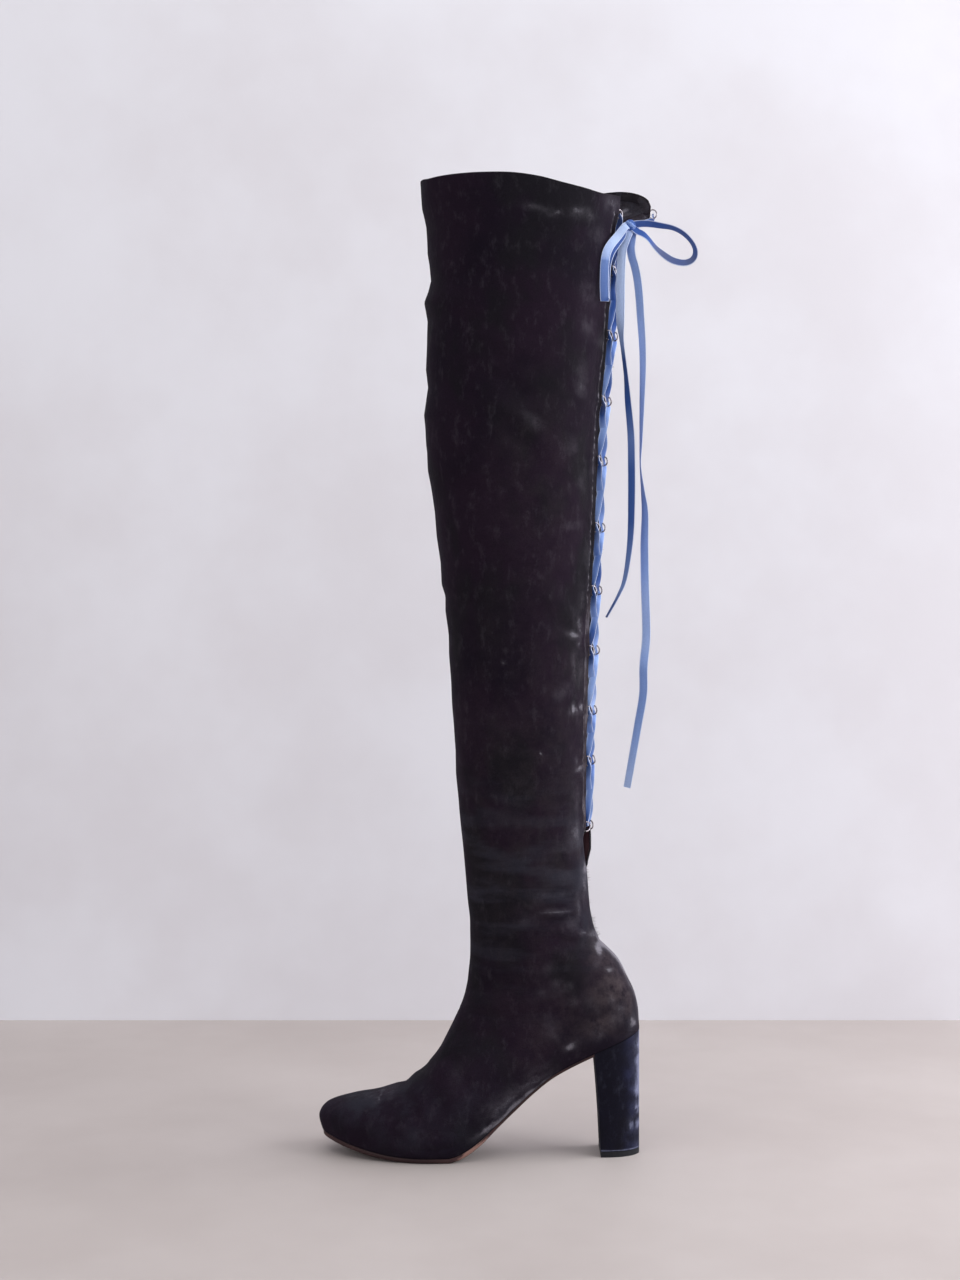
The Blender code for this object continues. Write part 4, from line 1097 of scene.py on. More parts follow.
# The ribbon's tones along each loop and end: share of its length, tone. Tones up to 1 paint
# its light and shade, from pale to deep; those toward 2 show its dull back.
BACK_TONES = (
    (0, 0.9), (0.12, 0.95), (0.3, 1.15), (0.46, 1.1), (0.53, 1.9), (0.62, 1.7), (0.74, 2.0), (0.80, 1.9),
    (0.86, 1.0), (1, 1.0),
)
FRONT_TONES = (
    (0, -0.8), (0.17, -0.9), (0.25, -0.5), (0.275, -0.3), (0.29, 0.5), (0.42, 0.66), (0.49, 0.7),
    (0.52, 0.9), (0.8, 1.1), (1, 0.9),
)
SHORT_TONES = (
    (0, -0.7), (0.1, -0.95), (0.26, -0.7), (0.31, 0.1), (0.35, 1.2), (0.45, 1.0), (0.54, 0.6), (0.62, 0.95),
    (0.75, 0.95), (0.84, 0.5), (0.92, 0.3), (1, 1.5),
)
LONG_TONES = (
    (0, 0.2), (0.08, 0.1), (0.2, -0.25), (0.35, -0.15), (0.43, 0.3), (0.5, 0.2), (0.58, 0.15),
    (0.66, -0.25), (0.74, -0.25), (0.79, 0.38), (0.85, 0.32), (0.92, 0.0), (1, -0.6),
)
CORDS = (
    ("bow_loop_back", LOOP_BACK_ROUTE, "object", BACK_TONES),
    ("bow_loop_front", LOOP_FRONT_ROUTE, "object", FRONT_TONES),
    ("lace_end_short", END_SHORT_ROUTE, "bare", SHORT_TONES),
    ("lace_end_long", END_LONG_ROUTE, "bare", LONG_TONES),
)
for name, route, far_end, tones in CORDS:
    made, path, length = free_ribbon(f"ribbon_{name}", route, tones, far_end == "object")
    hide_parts(name)


# Upper

LEG_ROWS = 300
FOOT_SPLIT = 9
HALF_COLUMNS = 88
SIDE_ARC = 0.175
SLIT_BOTTOM = 0.2135
SLIT_TOP = 0.7
PULLED_FROM = 0.213
EDGE_WIDTH = 0.005
HEM = 0.0065
HEM_WANDER = 0.0022
CUP_LOW = 0.096
CUP_HIGH = 0.172
FACING = 24
LINING_TOP = 0.249
# The collar's line seen from the side, in millimetres: x, z.
COLLAR_LINE = ((-150, 712), (-100, 716), (-60, 711), (-20, 699), (30, 700))

# The toe's rounding where it meets the sole: its reach back from the tip, the height where it starts
# and its depth, how far it draws back and drops, and the swell's height, half height and reach.
TOE_REACH = 0.028
TUCK_TOP = 0.027
TUCK_DEPTH = 0.010
TUCK_BACK = 0.0022
TUCK_DROP = 0.0026
SWELL_Z = 0.030
SWELL_HALF = 0.013
SWELL_REACH = 0.0024


def crowded(count):
    shares = [i / count for i in range(count + 1)]
    return [share * (1 + TURN_CROWDING * (1 - share * share)) for share in shares]


def section_rows(leg_rows, foot_split):
    rows = [leg_section(1 - i / leg_rows) for i in range(leg_rows)]
    steps = (len(FOOT_SECTIONS) - 1) * foot_split
    return rows + [foot_section(i / foot_split) for i in range(steps + 1)]


def skin_grid(leg_rows, foot_split, half_columns):
    """The skin's points, its quads and the side and turn of each, welded where the skin closes."""
    turns = crowded(half_columns)
    columns = [(-1, t) for t in turns[:0:-1]] + [(1, t) for t in turns]
    points, sides, ways, rows = [], [], [], []
    for section in section_rows(leg_rows, foot_split):
        closed = section.end <= 1e-9
        row = []
        for k, (side, turn) in enumerate(columns):
            if closed and k == len(columns) - 1:
                row.append(row[0])
                continue
            row.append(len(points))
            points.append(section_point(section, side, turn)[:])
            sides.append(side)
            ways.append(turn)
        rows.append(row)
    rows[-1] = [rows[-1][0]] * len(columns)
    return np.array(points), np.array(rows), np.array(sides), np.array(ways)


def grid_faces(rows):
    faces = []
    for above, below in zip(rows, rows[1:]):
        for k in range(len(above) - 1):
            face = [above[k], below[k], below[k + 1], above[k + 1]]
            kept = [v for i, v in enumerate(face) if v not in face[:i]]
            if len(kept) > 2:
                faces.append(tuple(int(v) for v in kept))
    return faces


def grid_normals(points, faces):
    normals = np.zeros_like(points)
    quads = np.array([f if len(f) == 4 else (*f, f[2]) for f in faces])
    a, b, c, d = (points[quads[:, i]] for i in range(4))
    cross = np.cross(c - a, d - b)
    for i in range(4):
        np.add.at(normals, quads[:, i], cross)
    lengths = np.linalg.norm(normals, axis=1)
    return normals / np.maximum(lengths, 1e-12)[:, None]


def polyline_distance(x, z, points):
    """Distance to a line through the points, in millimetres, and how far along it, from 0 to 1."""
    line = np.array(fine_route([(*p, 0) for p in points], 3.0))[:, :2]
    best = np.full(len(x), 1e9)
    along = np.zeros(len(x))
    total = len(line) - 1
    for i in range(total):
        a, b = line[i], line[i + 1]
        run = b - a
        size = run @ run + 1e-9
        t = np.clip(((x - a[0]) * run[0] + (z - a[1]) * run[1]) / size, 0, 1)
        gap = np.hypot(x - a[0] - t * run[0], z - a[1] - t * run[1])
        near = gap < best
        best[near] = gap[near]
        along[near] = ((i + t) / total)[near]
    return best, along


def crease_field(points, sides):
    x, z = points[:, 0] / MM, points[:, 2] / MM
    rise = np.zeros(len(points))
    for crease in CREASES:
        lows = np.min(crease.points, axis=0) - 4 * crease.width
        highs = np.max(crease.points, axis=0) + 4 * crease.width
        near = (sides == crease.side) & (x > lows[0]) & (x < highs[0]) & (z > lows[1]) & (z < highs[1])
        if not near.any():
            continue
        gap, along = polyline_distance(x[near], z[near], crease.points)
        fade = np.clip(np.minimum(along, 1 - along) / 0.25, 0.15, 1.0)
        rise[near] += crease.rise * fade * bell(gap, crease.width)
    return rise


def eye_pulls(points, sides):
    """Puckers where each wire eye pulls at its flap, in millimetres."""
    rise = np.zeros(len(points))
    for number in range(len(EYE_STEPS)):
        for side in (-1, 1):
            at = np.array(eye_seat(number, side)[0][:]) / MM
            near = (sides == side) & (np.abs(points[:, 2] / MM - at[2]) < 40)
            place = points[near] / MM - at
            gap = np.linalg.norm(place, axis=1)
            slope = np.arctan2(place[:, 2], -place[:, 0])
            fan = np.cos(slope * 5 + number * 1.7 + side)
            rise[near] += 0.75 * fan * np.exp(-gap / 9) * (1 - bell(gap, 3)) + 0.5 * bell(gap, 5)
    return rise


def slack(points):
    """Low unevenness of the cloth, in millimetres."""
    return 0.9 * noise_at(points, (22, 22, 11)) + 0.3 * noise_at(points, (70, 70, 45), (9, 0, 0))


def ragged(points):
    """How far a worn patch's outline wanders at each point, in millimetres."""
    shifts = []
    for offset in ((2, 0, 0), (31, 0, 0)):
        shifts.append(2.2 * noise_at(points, 90, offset) + 1.3 * noise_at(points, 260, offset))
    return np.stack(shifts, axis=1)


def patch_field(points, sides, patches, shifts):
    x, z = points[:, 0] / MM + shifts[:, 0], points[:, 2] / MM + shifts[:, 1]
    field = np.zeros(len(points))
    for patch in patches:
        slant = math.radians(patch.slant)
        dx, dz = x - patch.x, z - patch.z
        u = (dx * math.cos(slant) + dz * math.sin(slant)) / patch.long
        v = (-dx * math.sin(slant) + dz * math.cos(slant)) / patch.short
        spread = patch.strength * np.exp(-((u * u + v * v) ** 1.1) * 0.9)
        field = np.maximum(field, spread * np.where(sides < 0, 1.0, 0.7))
    return field


def rubbed_lines(points, sides, light, shifts):
    """The worn streaks of the outer side, laid over the light patches."""
    x, z = points[:, 0] / MM + shifts[:, 0], points[:, 2] / MM + shifts[:, 1]
    near = (sides < 0) & (z < 90) & (x > -130)
    for row in RUBBED:
        gap, along = polyline_distance(x[near], z[near], row.points)
        fade = np.clip(np.minimum(along, 1 - along) / 0.2, 0, 1)
        light[near] = np.maximum(light[near], row.strength * fade * bell(gap, row.width))
    return light


def edge_reach(z, side):
    """How far the slit's edge stands out at a height, in metres."""
    heights, reaches = zip(*(NEAR_REACH if side < 0 else FAR_REACH))
    return np.interp(np.asarray(z) / MM, heights, reaches) * MM


def toe_tuck(points):
    """Rounds the toe's front under, where it meets the sole."""
    points = np.array(points, dtype=float)
    near = np.clip((floor_x(1.0) + TOE_REACH - points[:, 0]) / TOE_REACH, 0, 1) ** 1.3
    low = np.clip((TUCK_TOP - points[:, 2]) / TUCK_DEPTH, 0, 1)
    swell = bell(points[:, 2] - SWELL_Z, SWELL_HALF)
    points[:, 0] += near * (TUCK_BACK * low**1.4 - SWELL_REACH * swell)
    points[:, 2] -= TUCK_DROP * near * low
    return points


def sole_line(points):
    """The height of the sole's top under each point."""
    return np.array([bottom_z(min(max((HEEL_BACK - x) / FOOT_LENGTH, 0), 1)) for x in points[:, 0]])


def border_loop(rows):
    """The slit's outer edge up, the collar across and the inner edge down, as point numbers."""
    open_rows = [i for i, row in enumerate(rows) if row[0] != row[-1] and i < LEG_ROWS]
    last = open_rows[-1] + 1
    left = [rows[i][0] for i in range(last, 0, -1)]
    right = [rows[i][-1] for i in range(1, last)]
    return left + list(rows[0]) + right


def add_rim(points, faces, loop, normals, inner_of):
    """Turns the skin's edge over the wall and a little way down inside."""
    loop_points = points[loop]
    runs = unit(np.roll(loop_points, -1, axis=0) - np.roll(loop_points, 1, axis=0))
    outs = unit(np.cross(runs, normals[loop]))
    inward = points[[inner_of[v] for v in loop]] - loop_points
    flip = np.sum(np.sum(outs * inward, axis=1)) > 0
    if flip:
        outs = -outs
    half = WALL / 2
    layers = [loop]
    made = [points]
    count = len(points)
    angles = np.radians([30, 60, 90, 120, 150, 180])
    shapes = [(math.sin(a) * half, (math.cos(a) - 1) * half) for a in angles]
    shapes += [(-0.002, -2 * half), (-0.0045, -2 * half), (-0.0062, -2.3 * half)]
    for reach, drop in shapes:
        layer = loop_points + outs * reach + normals[loop] * drop
        made.append(layer)
        layers.append(list(range(count, count + len(loop))))
        count += len(loop)
    for one, two in zip(layers, layers[1:]):
        for i in range(len(loop)):
            j = (i + 1) % len(loop)
            face = (one[i], one[j], two[j], two[i])
            faces.append(face if not flip else face[::-1])
    return np.vstack(made), faces, [v for layer in layers[1:] for v in loop]


def add_margin(points, faces, rows):
    """Lasting margin: the skin's lower edge turned in under the foot, above the sole."""
    foot = [row for row in rows[LEG_ROWS:] if row[0] != row[-1]]
    edges = [row[0] for row in foot], [row[-1] for row in foot]
    made, sources = [], []
    base = len(points)
    for edge in edges:
        layer = []
        for v in edge:
            inside = points[v].copy()
            mid = points[v].copy()
            centre = centre_y((HEEL_BACK - points[v][0]) / FOOT_LENGTH)
            pull = np.sign(centre - points[v][1]) * min(0.004, abs(centre - points[v][1]))
            mid[1] += pull * 0.25
            inside[1] += pull
            inside[2] += 0.0002
            layer.append(base + len(made))
            made.append(inside)
            sources.append(v)
        for i in range(len(edge) - 1):
            faces.append((int(edge[i]), int(edge[i + 1]), layer[i + 1], layer[i]))
    return np.vstack([points, np.array(made)]), faces, sources


def shaped_skin(points, normals, sides, turns):
    """The skin with its creases, slack, puckers and worn edges, and its toe rounded under."""
    rise = crease_field(points, sides) + slack(points)
    heights, reaches = zip(*sorted(FRONT_WAVES))
    rise += np.interp(points[:, 2] / MM, heights, reaches) * bell(turns, 0.17)
    above = np.clip((points[:, 2] - sole_line(points) - 0.001) / 0.006, 0, 1)
    rise *= np.where(points[:, 2] < ANKLE.front.z, above, 1.0)
    rise *= np.where((points[:, 2] > PULLED_FROM) & (turns > 0.93), 0.55, 1.0)
    rise += eye_pulls(points, sides)
    points = points + normals * rise[:, None] * MM
    z = points[:, 2]
    near_edge = np.where(z > SLIT_BOTTOM, bell((1 - turns) * SIDE_ARC, EDGE_WIDTH), 0.0)
    points[:, 0] += np.where(sides < 0, edge_reach(z, -1), edge_reach(z, 1)) * near_edge
    return toe_tuck(points)


def worn_skin(points, normals, sides, turns):
    """The skin with the slit's hem pressed in, and what the velvet's material reads at each point."""
    z = points[:, 2]
    dashes = noise_at(points, (0, 0, 320), (8, 1, 0))
    edge = np.where((z > SLIT_BOTTOM) & (z < SLIT_TOP), (1 - turns) * SIDE_ARC, 1.0)
    past_hem = edge - HEM - noise_at(points, (0, 0, 90), (3, 5, 0)) * HEM_WANDER
    stitch = bell(past_hem, 0.0009)
    strip = np.where(past_hem < 0, 1.0, bell(past_hem, 0.0012))
    points = points - normals * ((strip * 0.0003 + stitch * 0.0002)[:, None])
    shifts = ragged(points)
    wisps = noise_at(points, (70, 200, 60))
    high = np.clip((z - 0.40) / 0.03, 0, 1)
    light = patch_field(points, sides, LIGHT, shifts)
    light = np.maximum(light, stitch * np.clip(0.65 + 1.2 * dashes, 0, 1) * (0.85 + 0.25 * high))
    light = np.maximum(light, 0.4 * bell(edge, 0.0010))
    light = rubbed_lines(points, sides, light, shifts)
    # Painted highlight: a pale rim along the heel cup's back, where the skin faces back and is seen edge-on.
    painted_rim_highlight = np.clip(np.minimum(z - CUP_LOW, CUP_HIGH - z) / 0.006, 0, 1)
    painted_rim_highlight *= np.clip(normals[:, 0] / 0.3, 0, 1) * bell(normals[:, 1] + 0.04, 0.30)
    light = np.maximum(light, painted_rim_highlight * np.clip(0.95 + 0.9 * wisps, 0, 1))
    light = np.maximum(light, (1 - high) * strip * np.clip(0.25 + 1.1 * wisps, 0, 0.6))
    # Painted shade: the hem's strip is darkened, more so higher up.
    deep = strip * np.where(light > 0.3, 0.3, 0.75) * (0.2 + 0.8 * high)
    back = np.where(z > SLIT_BOTTOM, 1.0, (1 - turns) * 0.12)
    fields = {
        "light": light,
        "dust": np.maximum(patch_field(points, sides, DUST, shifts), 0.75 * strip * (1 - high)),
        # Painted sheen patches.
        "bloom": patch_field(points, sides, PAINTED_SHEEN, shifts),
        "seam": np.where(back < 0.01, back, turns * 0.17 * sides),
        # Painted shade, with a dark line along the slit's edge.
        "deep": np.maximum(deep, 0.75 * bell(edge, 0.0013)),
        "band": bell(z - 0.205, 0.075),
    }
    return points, fields, dashes


def inner_neighbours(rows):
    """The point that lies next inside each point of the skin's open edge."""
    inner_of = {}
    for row in rows:
        inner_of.setdefault(int(row[0]), int(row[1]))
        inner_of.setdefault(int(row[-1]), int(row[-2]))
    for k, v in enumerate(rows[0]):
        inner_of[int(v)] = int(rows[1][k])
    return inner_of


def upper_piece():
    """The velvet outside, its turned edges and the margin under the foot."""
    points, rows, sides, turns = skin_grid(LEG_ROWS, FOOT_SPLIT, HALF_COLUMNS)
    faces = grid_faces(rows)
    normals = grid_normals(points, faces)
    away = (points - np.array([-0.07, 0, 0])) * (1, 1, 0)
    if np.sum(normals * away) < 0:
        normals = -normals
        faces = [face[::-1] for face in faces]
    points = shaped_skin(points, normals, sides, turns)
    normals = grid_normals(points, faces)
    z = points[:, 2]
    points, fields, dashes = worn_skin(points, normals, sides, turns)
    inner_skin(points, normals, rows)
    loop = [int(v) for v in border_loop(rows)]
    count, plain_faces = len(points), len(faces)
    points, faces, rim_of = add_rim(points, faces, loop, normals, inner_neighbours(rows))
    points, faces, margin_of = add_margin(points, faces, rows)
    made = mesh_object("velvet_upper", points, faces, VELVET, 60)
    layer = np.arange(len(rim_of)) // len(loop)
    along_slit = (z[rim_of] > SLIT_BOTTOM) & (z[rim_of] < SLIT_TOP)
    laced = np.where(along_slit, 1.0, 0.35)
    on_rim = {
        "light": np.array(RIM_LIGHT)[layer] * laced * np.clip(0.5 + 1.2 * dashes[rim_of], 0, 1),
        # Painted shade in the turned edge's fold.
        "deep": np.array(RIM_DEEP)[layer],
        "dust": 0.6 * laced,
        "seam": 1.0,
    }
    source = [*range(count), *rim_of, *margin_of]
    fields = {name: values[source] for name, values in fields.items()}
    for name, values in on_rim.items():
        fields[name][count:count + len(rim_of)] = values
    give(made, **fields)
    made.data.materials.append(LINING)
    material = np.zeros(len(faces), dtype=np.int32)
    inside = (layer >= 5) & (z[rim_of] < LINING_TOP) & (z[rim_of] > SLIT_BOTTOM)
    material[plain_faces:plain_faces + len(rim_of)] = inside
    made.data.polygons.foreach_set("material_index", material)
    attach(made, "root")
    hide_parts("upper")
    back = turns > 0.96
    return points[:count][back], normals[back]


def inner_skin(points, normals, rows):
    """The wall's inside: a deep velvet facing along the collar and the slit, leather below it."""
    inside = points - normals * WALL
    above_sole = np.maximum(inside[:, 2], sole_line(points))
    inside[:, 2] = np.where(points[:, 2] < ANKLE.front.z, above_sole, inside[:, 2])
    thin = rows[:-2 * FOOT_SPLIT:2, ::2]
    faces = [face[::-1] for face in grid_faces(thin)]
    used = sorted({v for face in faces for v in face})
    number = {v: i for i, v in enumerate(used)}
    places = inside[used]
    faces = [tuple(number[v] for v in face) for face in faces]
    made = mesh_object("lining", places, faces, LINING, 60)
    made.data.materials.append(VELVET)
    middles = np.array([np.mean(places[list(face)], axis=0) for face in faces])
    tops = np.interp(middles[:, 0] / MM, *zip(*COLLAR_LINE))
    facing = (middles[:, 2] / MM > tops - FACING) | ((middles[:, 0] > -0.03) & (middles[:, 2] > 0.3))
    made.data.polygons.foreach_set("material_index", facing.astype(np.int32))
    x, z = places[:, 0] / MM, places[:, 2] / MM
    corner = bell(x - 4, 4) * bell(z - 705, 5)
    tab = np.where(z > 690, 0.38, 0.0)
    # The facing gets painted blue sheen all over, and its tab top and one corner are paler.
    give(made, light=np.maximum(corner, tab), dust=0.35, bloom=0.8, seam=1.0, deep=0.0, band=0.0)
    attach(made, "root")


BACK_POINTS, BACK_WAYS = upper_piece()


# Heel, soles


def seat_outline(steps=18):
    side = []
    for i in range(steps + 1):
        share = 1 - math.cos(math.pi / 2 * i / steps)
        side.append((share, bottom_half(share * BREAST_ALONG) / bottom_half(BREAST_ALONG)))
    outer = [(depth, -width) for depth, width in side[:0:-1]]
    across = [(1.0, 0.75), (1.0, 0.4), (1.0, 0.0), (1.0, -0.4), (1.0, -0.75)]
    return side + across + outer


HEEL_LEVELS = 90
# Rubbed spots of the heel's cover, in millimetres: x, z, the two half widths and the strength.
HEEL_SPOTS = (Patch(8, 23, 2.6, 5, 0, 0.8), Patch(13, 32, 2.6, 4, 0, 0.7))


def heel_wear(x, y, z):
    """How pale the heel's cover is at a place in millimetres, rubbed and painted lighter as a highlight
    down its back edge, and how much painted blue sheen it has.
    """
    blots = noise.noise(Vector((x * 0.12, z * 0.13, 3.0)))
    wisps = noise.noise(Vector((x * 0.55, y * 0.3, z * 0.05)))
    rub = bell(x - HEEL_BACK / MM, 4.6) * (0.80 + 0.3 * ease(z, 50, 75) + 0.8 * blots + 0.6 * wisps)
    rub *= 1.0 if 34 < z < 98 else 0.6
    for spot in HEEL_SPOTS:
        rub = max(rub, spot.strength * bell(x - spot.x, spot.long) * bell(z - spot.z, spot.short))
    glue_line = 0.72 * bell(z - 5.0, 0.7)
    return min(max(rub, glue_line), 1.0), max(0.0, 0.95 * bell(x - 9, 6) * (0.55 + 0.6 * blots))


def heel_cover():
    """The heel block's velvet, pulled over it and glued down at the tip with a fine light line."""
    foot_z = HEEL_TIP_THICKNESS + GAP
    outline = seat_outline()
    seat_half = bottom_half(BREAST_ALONG)
    places, wear = [], []
    for i in range(HEEL_LEVELS + 1):
        up = (i / HEEL_LEVELS) ** 1.35
        depth_share = smooth(HEEL_SECTIONS, "depth", up, key="up")
        width_share = smooth(HEEL_SECTIONS, "width", up, key="up")
        depth = HEEL_FOOT_DEPTH + depth_share * (BREAST_ALONG * FOOT_LENGTH - HEEL_FOOT_DEPTH)
        half = HEEL_FOOT_WIDTH / 2 + width_share * (seat_half - HEEL_FOOT_WIDTH / 2)
        for share, width in outline:
            seat = bottom_z(share * BREAST_ALONG) - GAP
            place = (HEEL_BACK - share * depth, width * half, foot_z + up * (seat - foot_z))
            places.append(place)
            wear.append(heel_wear(*(number / MM for number in place)))
    quads = ring_quads(HEEL_LEVELS + 1, len(outline)) + end_caps(HEEL_LEVELS + 1, len(outline))[:1]
    made = mesh_object("heel_velvet", places, quads, HEEL_VELVET, 50)
    # The second number is a painted blue sheen down the back edge.
    light, bloom = zip(*wear)
    give(made, light=light, bloom=bloom, dust=0.0, seam=1.0, deep=0.0, band=0.0)
    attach(made, "root")
    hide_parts("heel")


def sole_piece():
    """The leather outsole with its rounded, worn edge."""
    places, light, tread = [], [], []
    start = BREAST_ALONG + GAP / FOOT_LENGTH
    stations = [start + (1 - start) * (1 - (1 - i / 110) ** 1.6) for i in range(111)]
    for along in stations:
        top = bottom_z(along) - GAP
        slant = math.hypot(1, bottom_slope(along))
        share = ease(along, 0.40, 0.58)
        thick = WAIST_THICKNESS + (SOLE_THICKNESS - WAIST_THICKNESS) * share
        low = top - thick * (slant if along < 0.6 else 1)
        half = bottom_half(along)
        x, y = floor_x(along), centre_y(along)
        edge = min(SOLE_EDGE, half)
        ring = [(-half, 0.0), (-half - 0.0003, 0.25), (-half - 0.0002, 0.55)]
        ring += [(-half + edge * 0.3, 0.85), (-half + edge, 1.0), (0.0, 1.0)]
        ring += [(-a, b) for a, b in ring[4::-1]]
        bend = bell(x / MM + 110, 13)
        for a, b in ring:
            places.append((x, y + (a if half > 1e-5 else 0.0), top + (low - top) * b))
            light.append(bend * (1.0 if b > 0.3 else 0.7))
            tread.append(1.0 if b == 1.0 and abs(a) < half - edge * 0.5 else 0.0)
    quads = [(quad[0], *quad[:0:-1]) for quad in ring_quads(len(stations), len(ring))]
    quads.append(tuple(range(len(ring))))
    made = mesh_object("sole", toe_tuck(places), quads, SOLE, 40)
    give(made, light=light, dust=tread)
    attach(made, "root")
    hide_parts("outsole")


heel_cover()
sole_piece()


def dress(node, material):
    data = NODES[node].data
    data.materials.clear()
    data.materials.append(material)


def insole_board():
    """The solid's insole, tucked in at the toe like the skin round it."""
    data = NODES["insole"].data
    places = [NODES["insole"].matrix_world @ v.co for v in data.vertices]
    made = mesh_object("insole_board", toe_tuck(places), [p.vertices[:] for p in data.polygons], INSOLE)
    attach(made, "root")
    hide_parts("insole")


insole_board()
dress("heel_tip", TIP)


# Wire eyes and the lacing


def tube(path, radius, sides=8, taper=None):
    """Points and quads of a round tube along the path, closed at both ends."""
    path = np.array(path, dtype=float)
    runs = directions(path)
    up = np.array([0.0, 0.0, 1.0]) if abs(runs[0][2]) < 0.9 else np.array([1.0, 0.0, 0.0])
    places = []
    one = np.cross(runs[0], up)
    for i, point in enumerate(path):
        one = one - runs[i] * (one @ runs[i])
        one /= np.linalg.norm(one)
        two = np.cross(runs[i], one)
        size = radius * (1 if taper is None else taper[i])
        for k in range(sides):
            angle = 2 * math.pi * k / sides
            places.append(point + (one * math.cos(angle) + two * math.sin(angle)) * size)
    return places, ring_quads(len(path), sides) + end_caps(len(path), sides)


def join(parts):
    places, quads = [], []
    for some_places, some_quads in parts:
        base = len(places)
        places.extend(some_places)
        quads.extend(tuple(base + v for v in quad) for quad in some_quads)
    return places, quads


BEND_STEPS = 16
SUNK = 0.0008
WIRE_WEAR = 0.92


def wire_eyes():
    """Bent wire eyes, whose feet are sunk into the flap's edge."""
    for number in range(len(EYE_STEPS)):
        for side in (-1, 1):
            at, out = eye_seat(number, side)
            start = out * (GAP + WIRE_RADIUS * 0.6)
            low, high = eye_foot(number, side, -1), eye_foot(number, side, 1)
            path = [low - out * SUNK, low + start]
            for i in range(BEND_STEPS + 1):
                angle = math.pi * i / BEND_STEPS - math.pi / 2
                reach = EYE_REACH + EYE_HALF_HEIGHT * math.cos(angle)
                path.append(at + out * reach + Vector((0, 0, EYE_HALF_HEIGHT * math.sin(angle))))
            path += [high + start, high - out * SUNK]
            places, quads = tube([p[:] for p in path], WIRE_RADIUS * WIRE_WEAR, 10)
            word = "outer" if side < 0 else "inner"
            made = mesh_object(f"wire_{word}_{number + 1:02d}", places, quads, WIRE, 60)
            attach(made, "root")
            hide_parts(f"eye_{word}_{number + 1:02d}")


wire_eyes()


CROSS_SWAY = 0.0006
CROSS_LAYER = 0.00055
THROUGH_EYE = 0.0012
# Between the eyes: share of the crossing's length, and the ribbon's width in millimetres.
CROSS_WIDTHS = ((0.25, 4.6), (0.36, 5.0), (0.5, 5.2), (0.64, 5.0), (0.75, 4.6))
# Tones of each crossing, which paint its light and shade: low and near, low and far, where they
# cross, high and near, high and far.
CROSS_TONES = (
    (0.65, 0.00, 0.35, 0.30, 0.35), (0.45, 0.35, 0.30, 0.10, 0.15), (-0.40, -0.60, -0.20, 0.80, 0.00),
    (1.20, -0.10, 0.35, 0.45, 0.10), (0.50, 1.00, 0.60, 0.20, 0.00), (-0.10, 0.20, 0.25, 0.55, 0.00),
    (0.45, 0.40, 0.10, 1.20, -0.20), (-0.10, 1.00, 0.50, 0.60, 0.45), (0.60, 0.90, 0.75, 0.85, 1.10),
    (1.10, 1.00, 1.10, 1.10, 1.00),
)
# The last near ribbon goes round behind the knot: how far it is led forward and up.
KNOT_DETOUR = (-0.0075, 0.0028)


def crossing(number, side):
    """A ribbon from an eye to the next pair's other eye, drawn narrow where it goes through them."""
    low = eye_middle(number, side)
    high = eye_middle(number + 1, -side)
    _, out_low = eye_seat(number, side)
    _, out_high = eye_seat(number + 1, -side)
    normal_low = Vector((-out_low.y, out_low.x, 0)) * side
    normal_high = Vector((-out_high.y, out_high.x, 0)) * -side
    layer = Vector((0, side * CROSS_LAYER, 0))
    behind_knot = number == len(EYE_STEPS) - 2 and side < 0
    forward, up = KNOT_DETOUR if behind_knot else (0, 0)
    rows = [
        (low - normal_low * 0.0002, 2.6, 1.7),
        (low + Vector((0, 0, 0.0016)) - normal_low * THROUGH_EYE * 0.8, 2.8, 1.6),
        (low + Vector((0, 0, 0.0046)) - normal_low * THROUGH_EYE, 4.4, 1.1),
    ]
    for share, width in CROSS_WIDTHS:
        at = low.lerp(high, share)
        at.x += side * CROSS_SWAY * math.sin(2 * math.pi * share)
        at.x += forward * math.sin(math.pi * share)
        at.z += up * math.sin(math.pi * share)
        rows.append((at + layer * (1 - abs(share - 0.5) * 2), width, RIBBON_THICKNESS / MM))
    rows += [
        (high - Vector((0, 0, 0.0046)) + normal_high * THROUGH_EYE * 0.6, 4.4, 1.1),
        (high - Vector((0, 0, 0.0016)) + normal_high * THROUGH_EYE * 0.4, 2.8, 1.6),
        (high - normal_high * 0.0002, 2.6, 1.7),
    ]
    fine = fine_route([(*at[:], width * MM, thick * MM) for at, width, thick in rows], RIBBON_STEP)
    share = np.linspace(0, 1, len(fine))
    angle_low = math.atan2(out_low.y * side, out_low.x * side)
    angle_high = math.atan2(out_high.y * -side, out_high.x * -side)
    turned = np.interp(share, [0, 0.3, 0.7, 1], [angle_low, -math.pi / 2, -math.pi / 2, angle_high])
    faces = np.stack([np.cos(turned), np.sin(turned), np.zeros(len(turned))], axis=1)
    near_low, far_low, middle, near_high, far_high = CROSS_TONES[number]
    tints = (near_low, middle, far_high) if side < 0 else (far_low, middle, near_high)
    tones = np.interp(share, [0.12, 0.5, 0.88], tints) + 0.08 * np.sin(share * 9 + number * 2.1)
    # Painted shade near both ends, where the ribbon goes through the eyes.
    tones = tones + 0.4 * bell(np.minimum(share, 1 - share), 0.12)
    return ribbon_mesh(fine[:, :3], faces, fine[:, 3], fine[:, 4], tones)


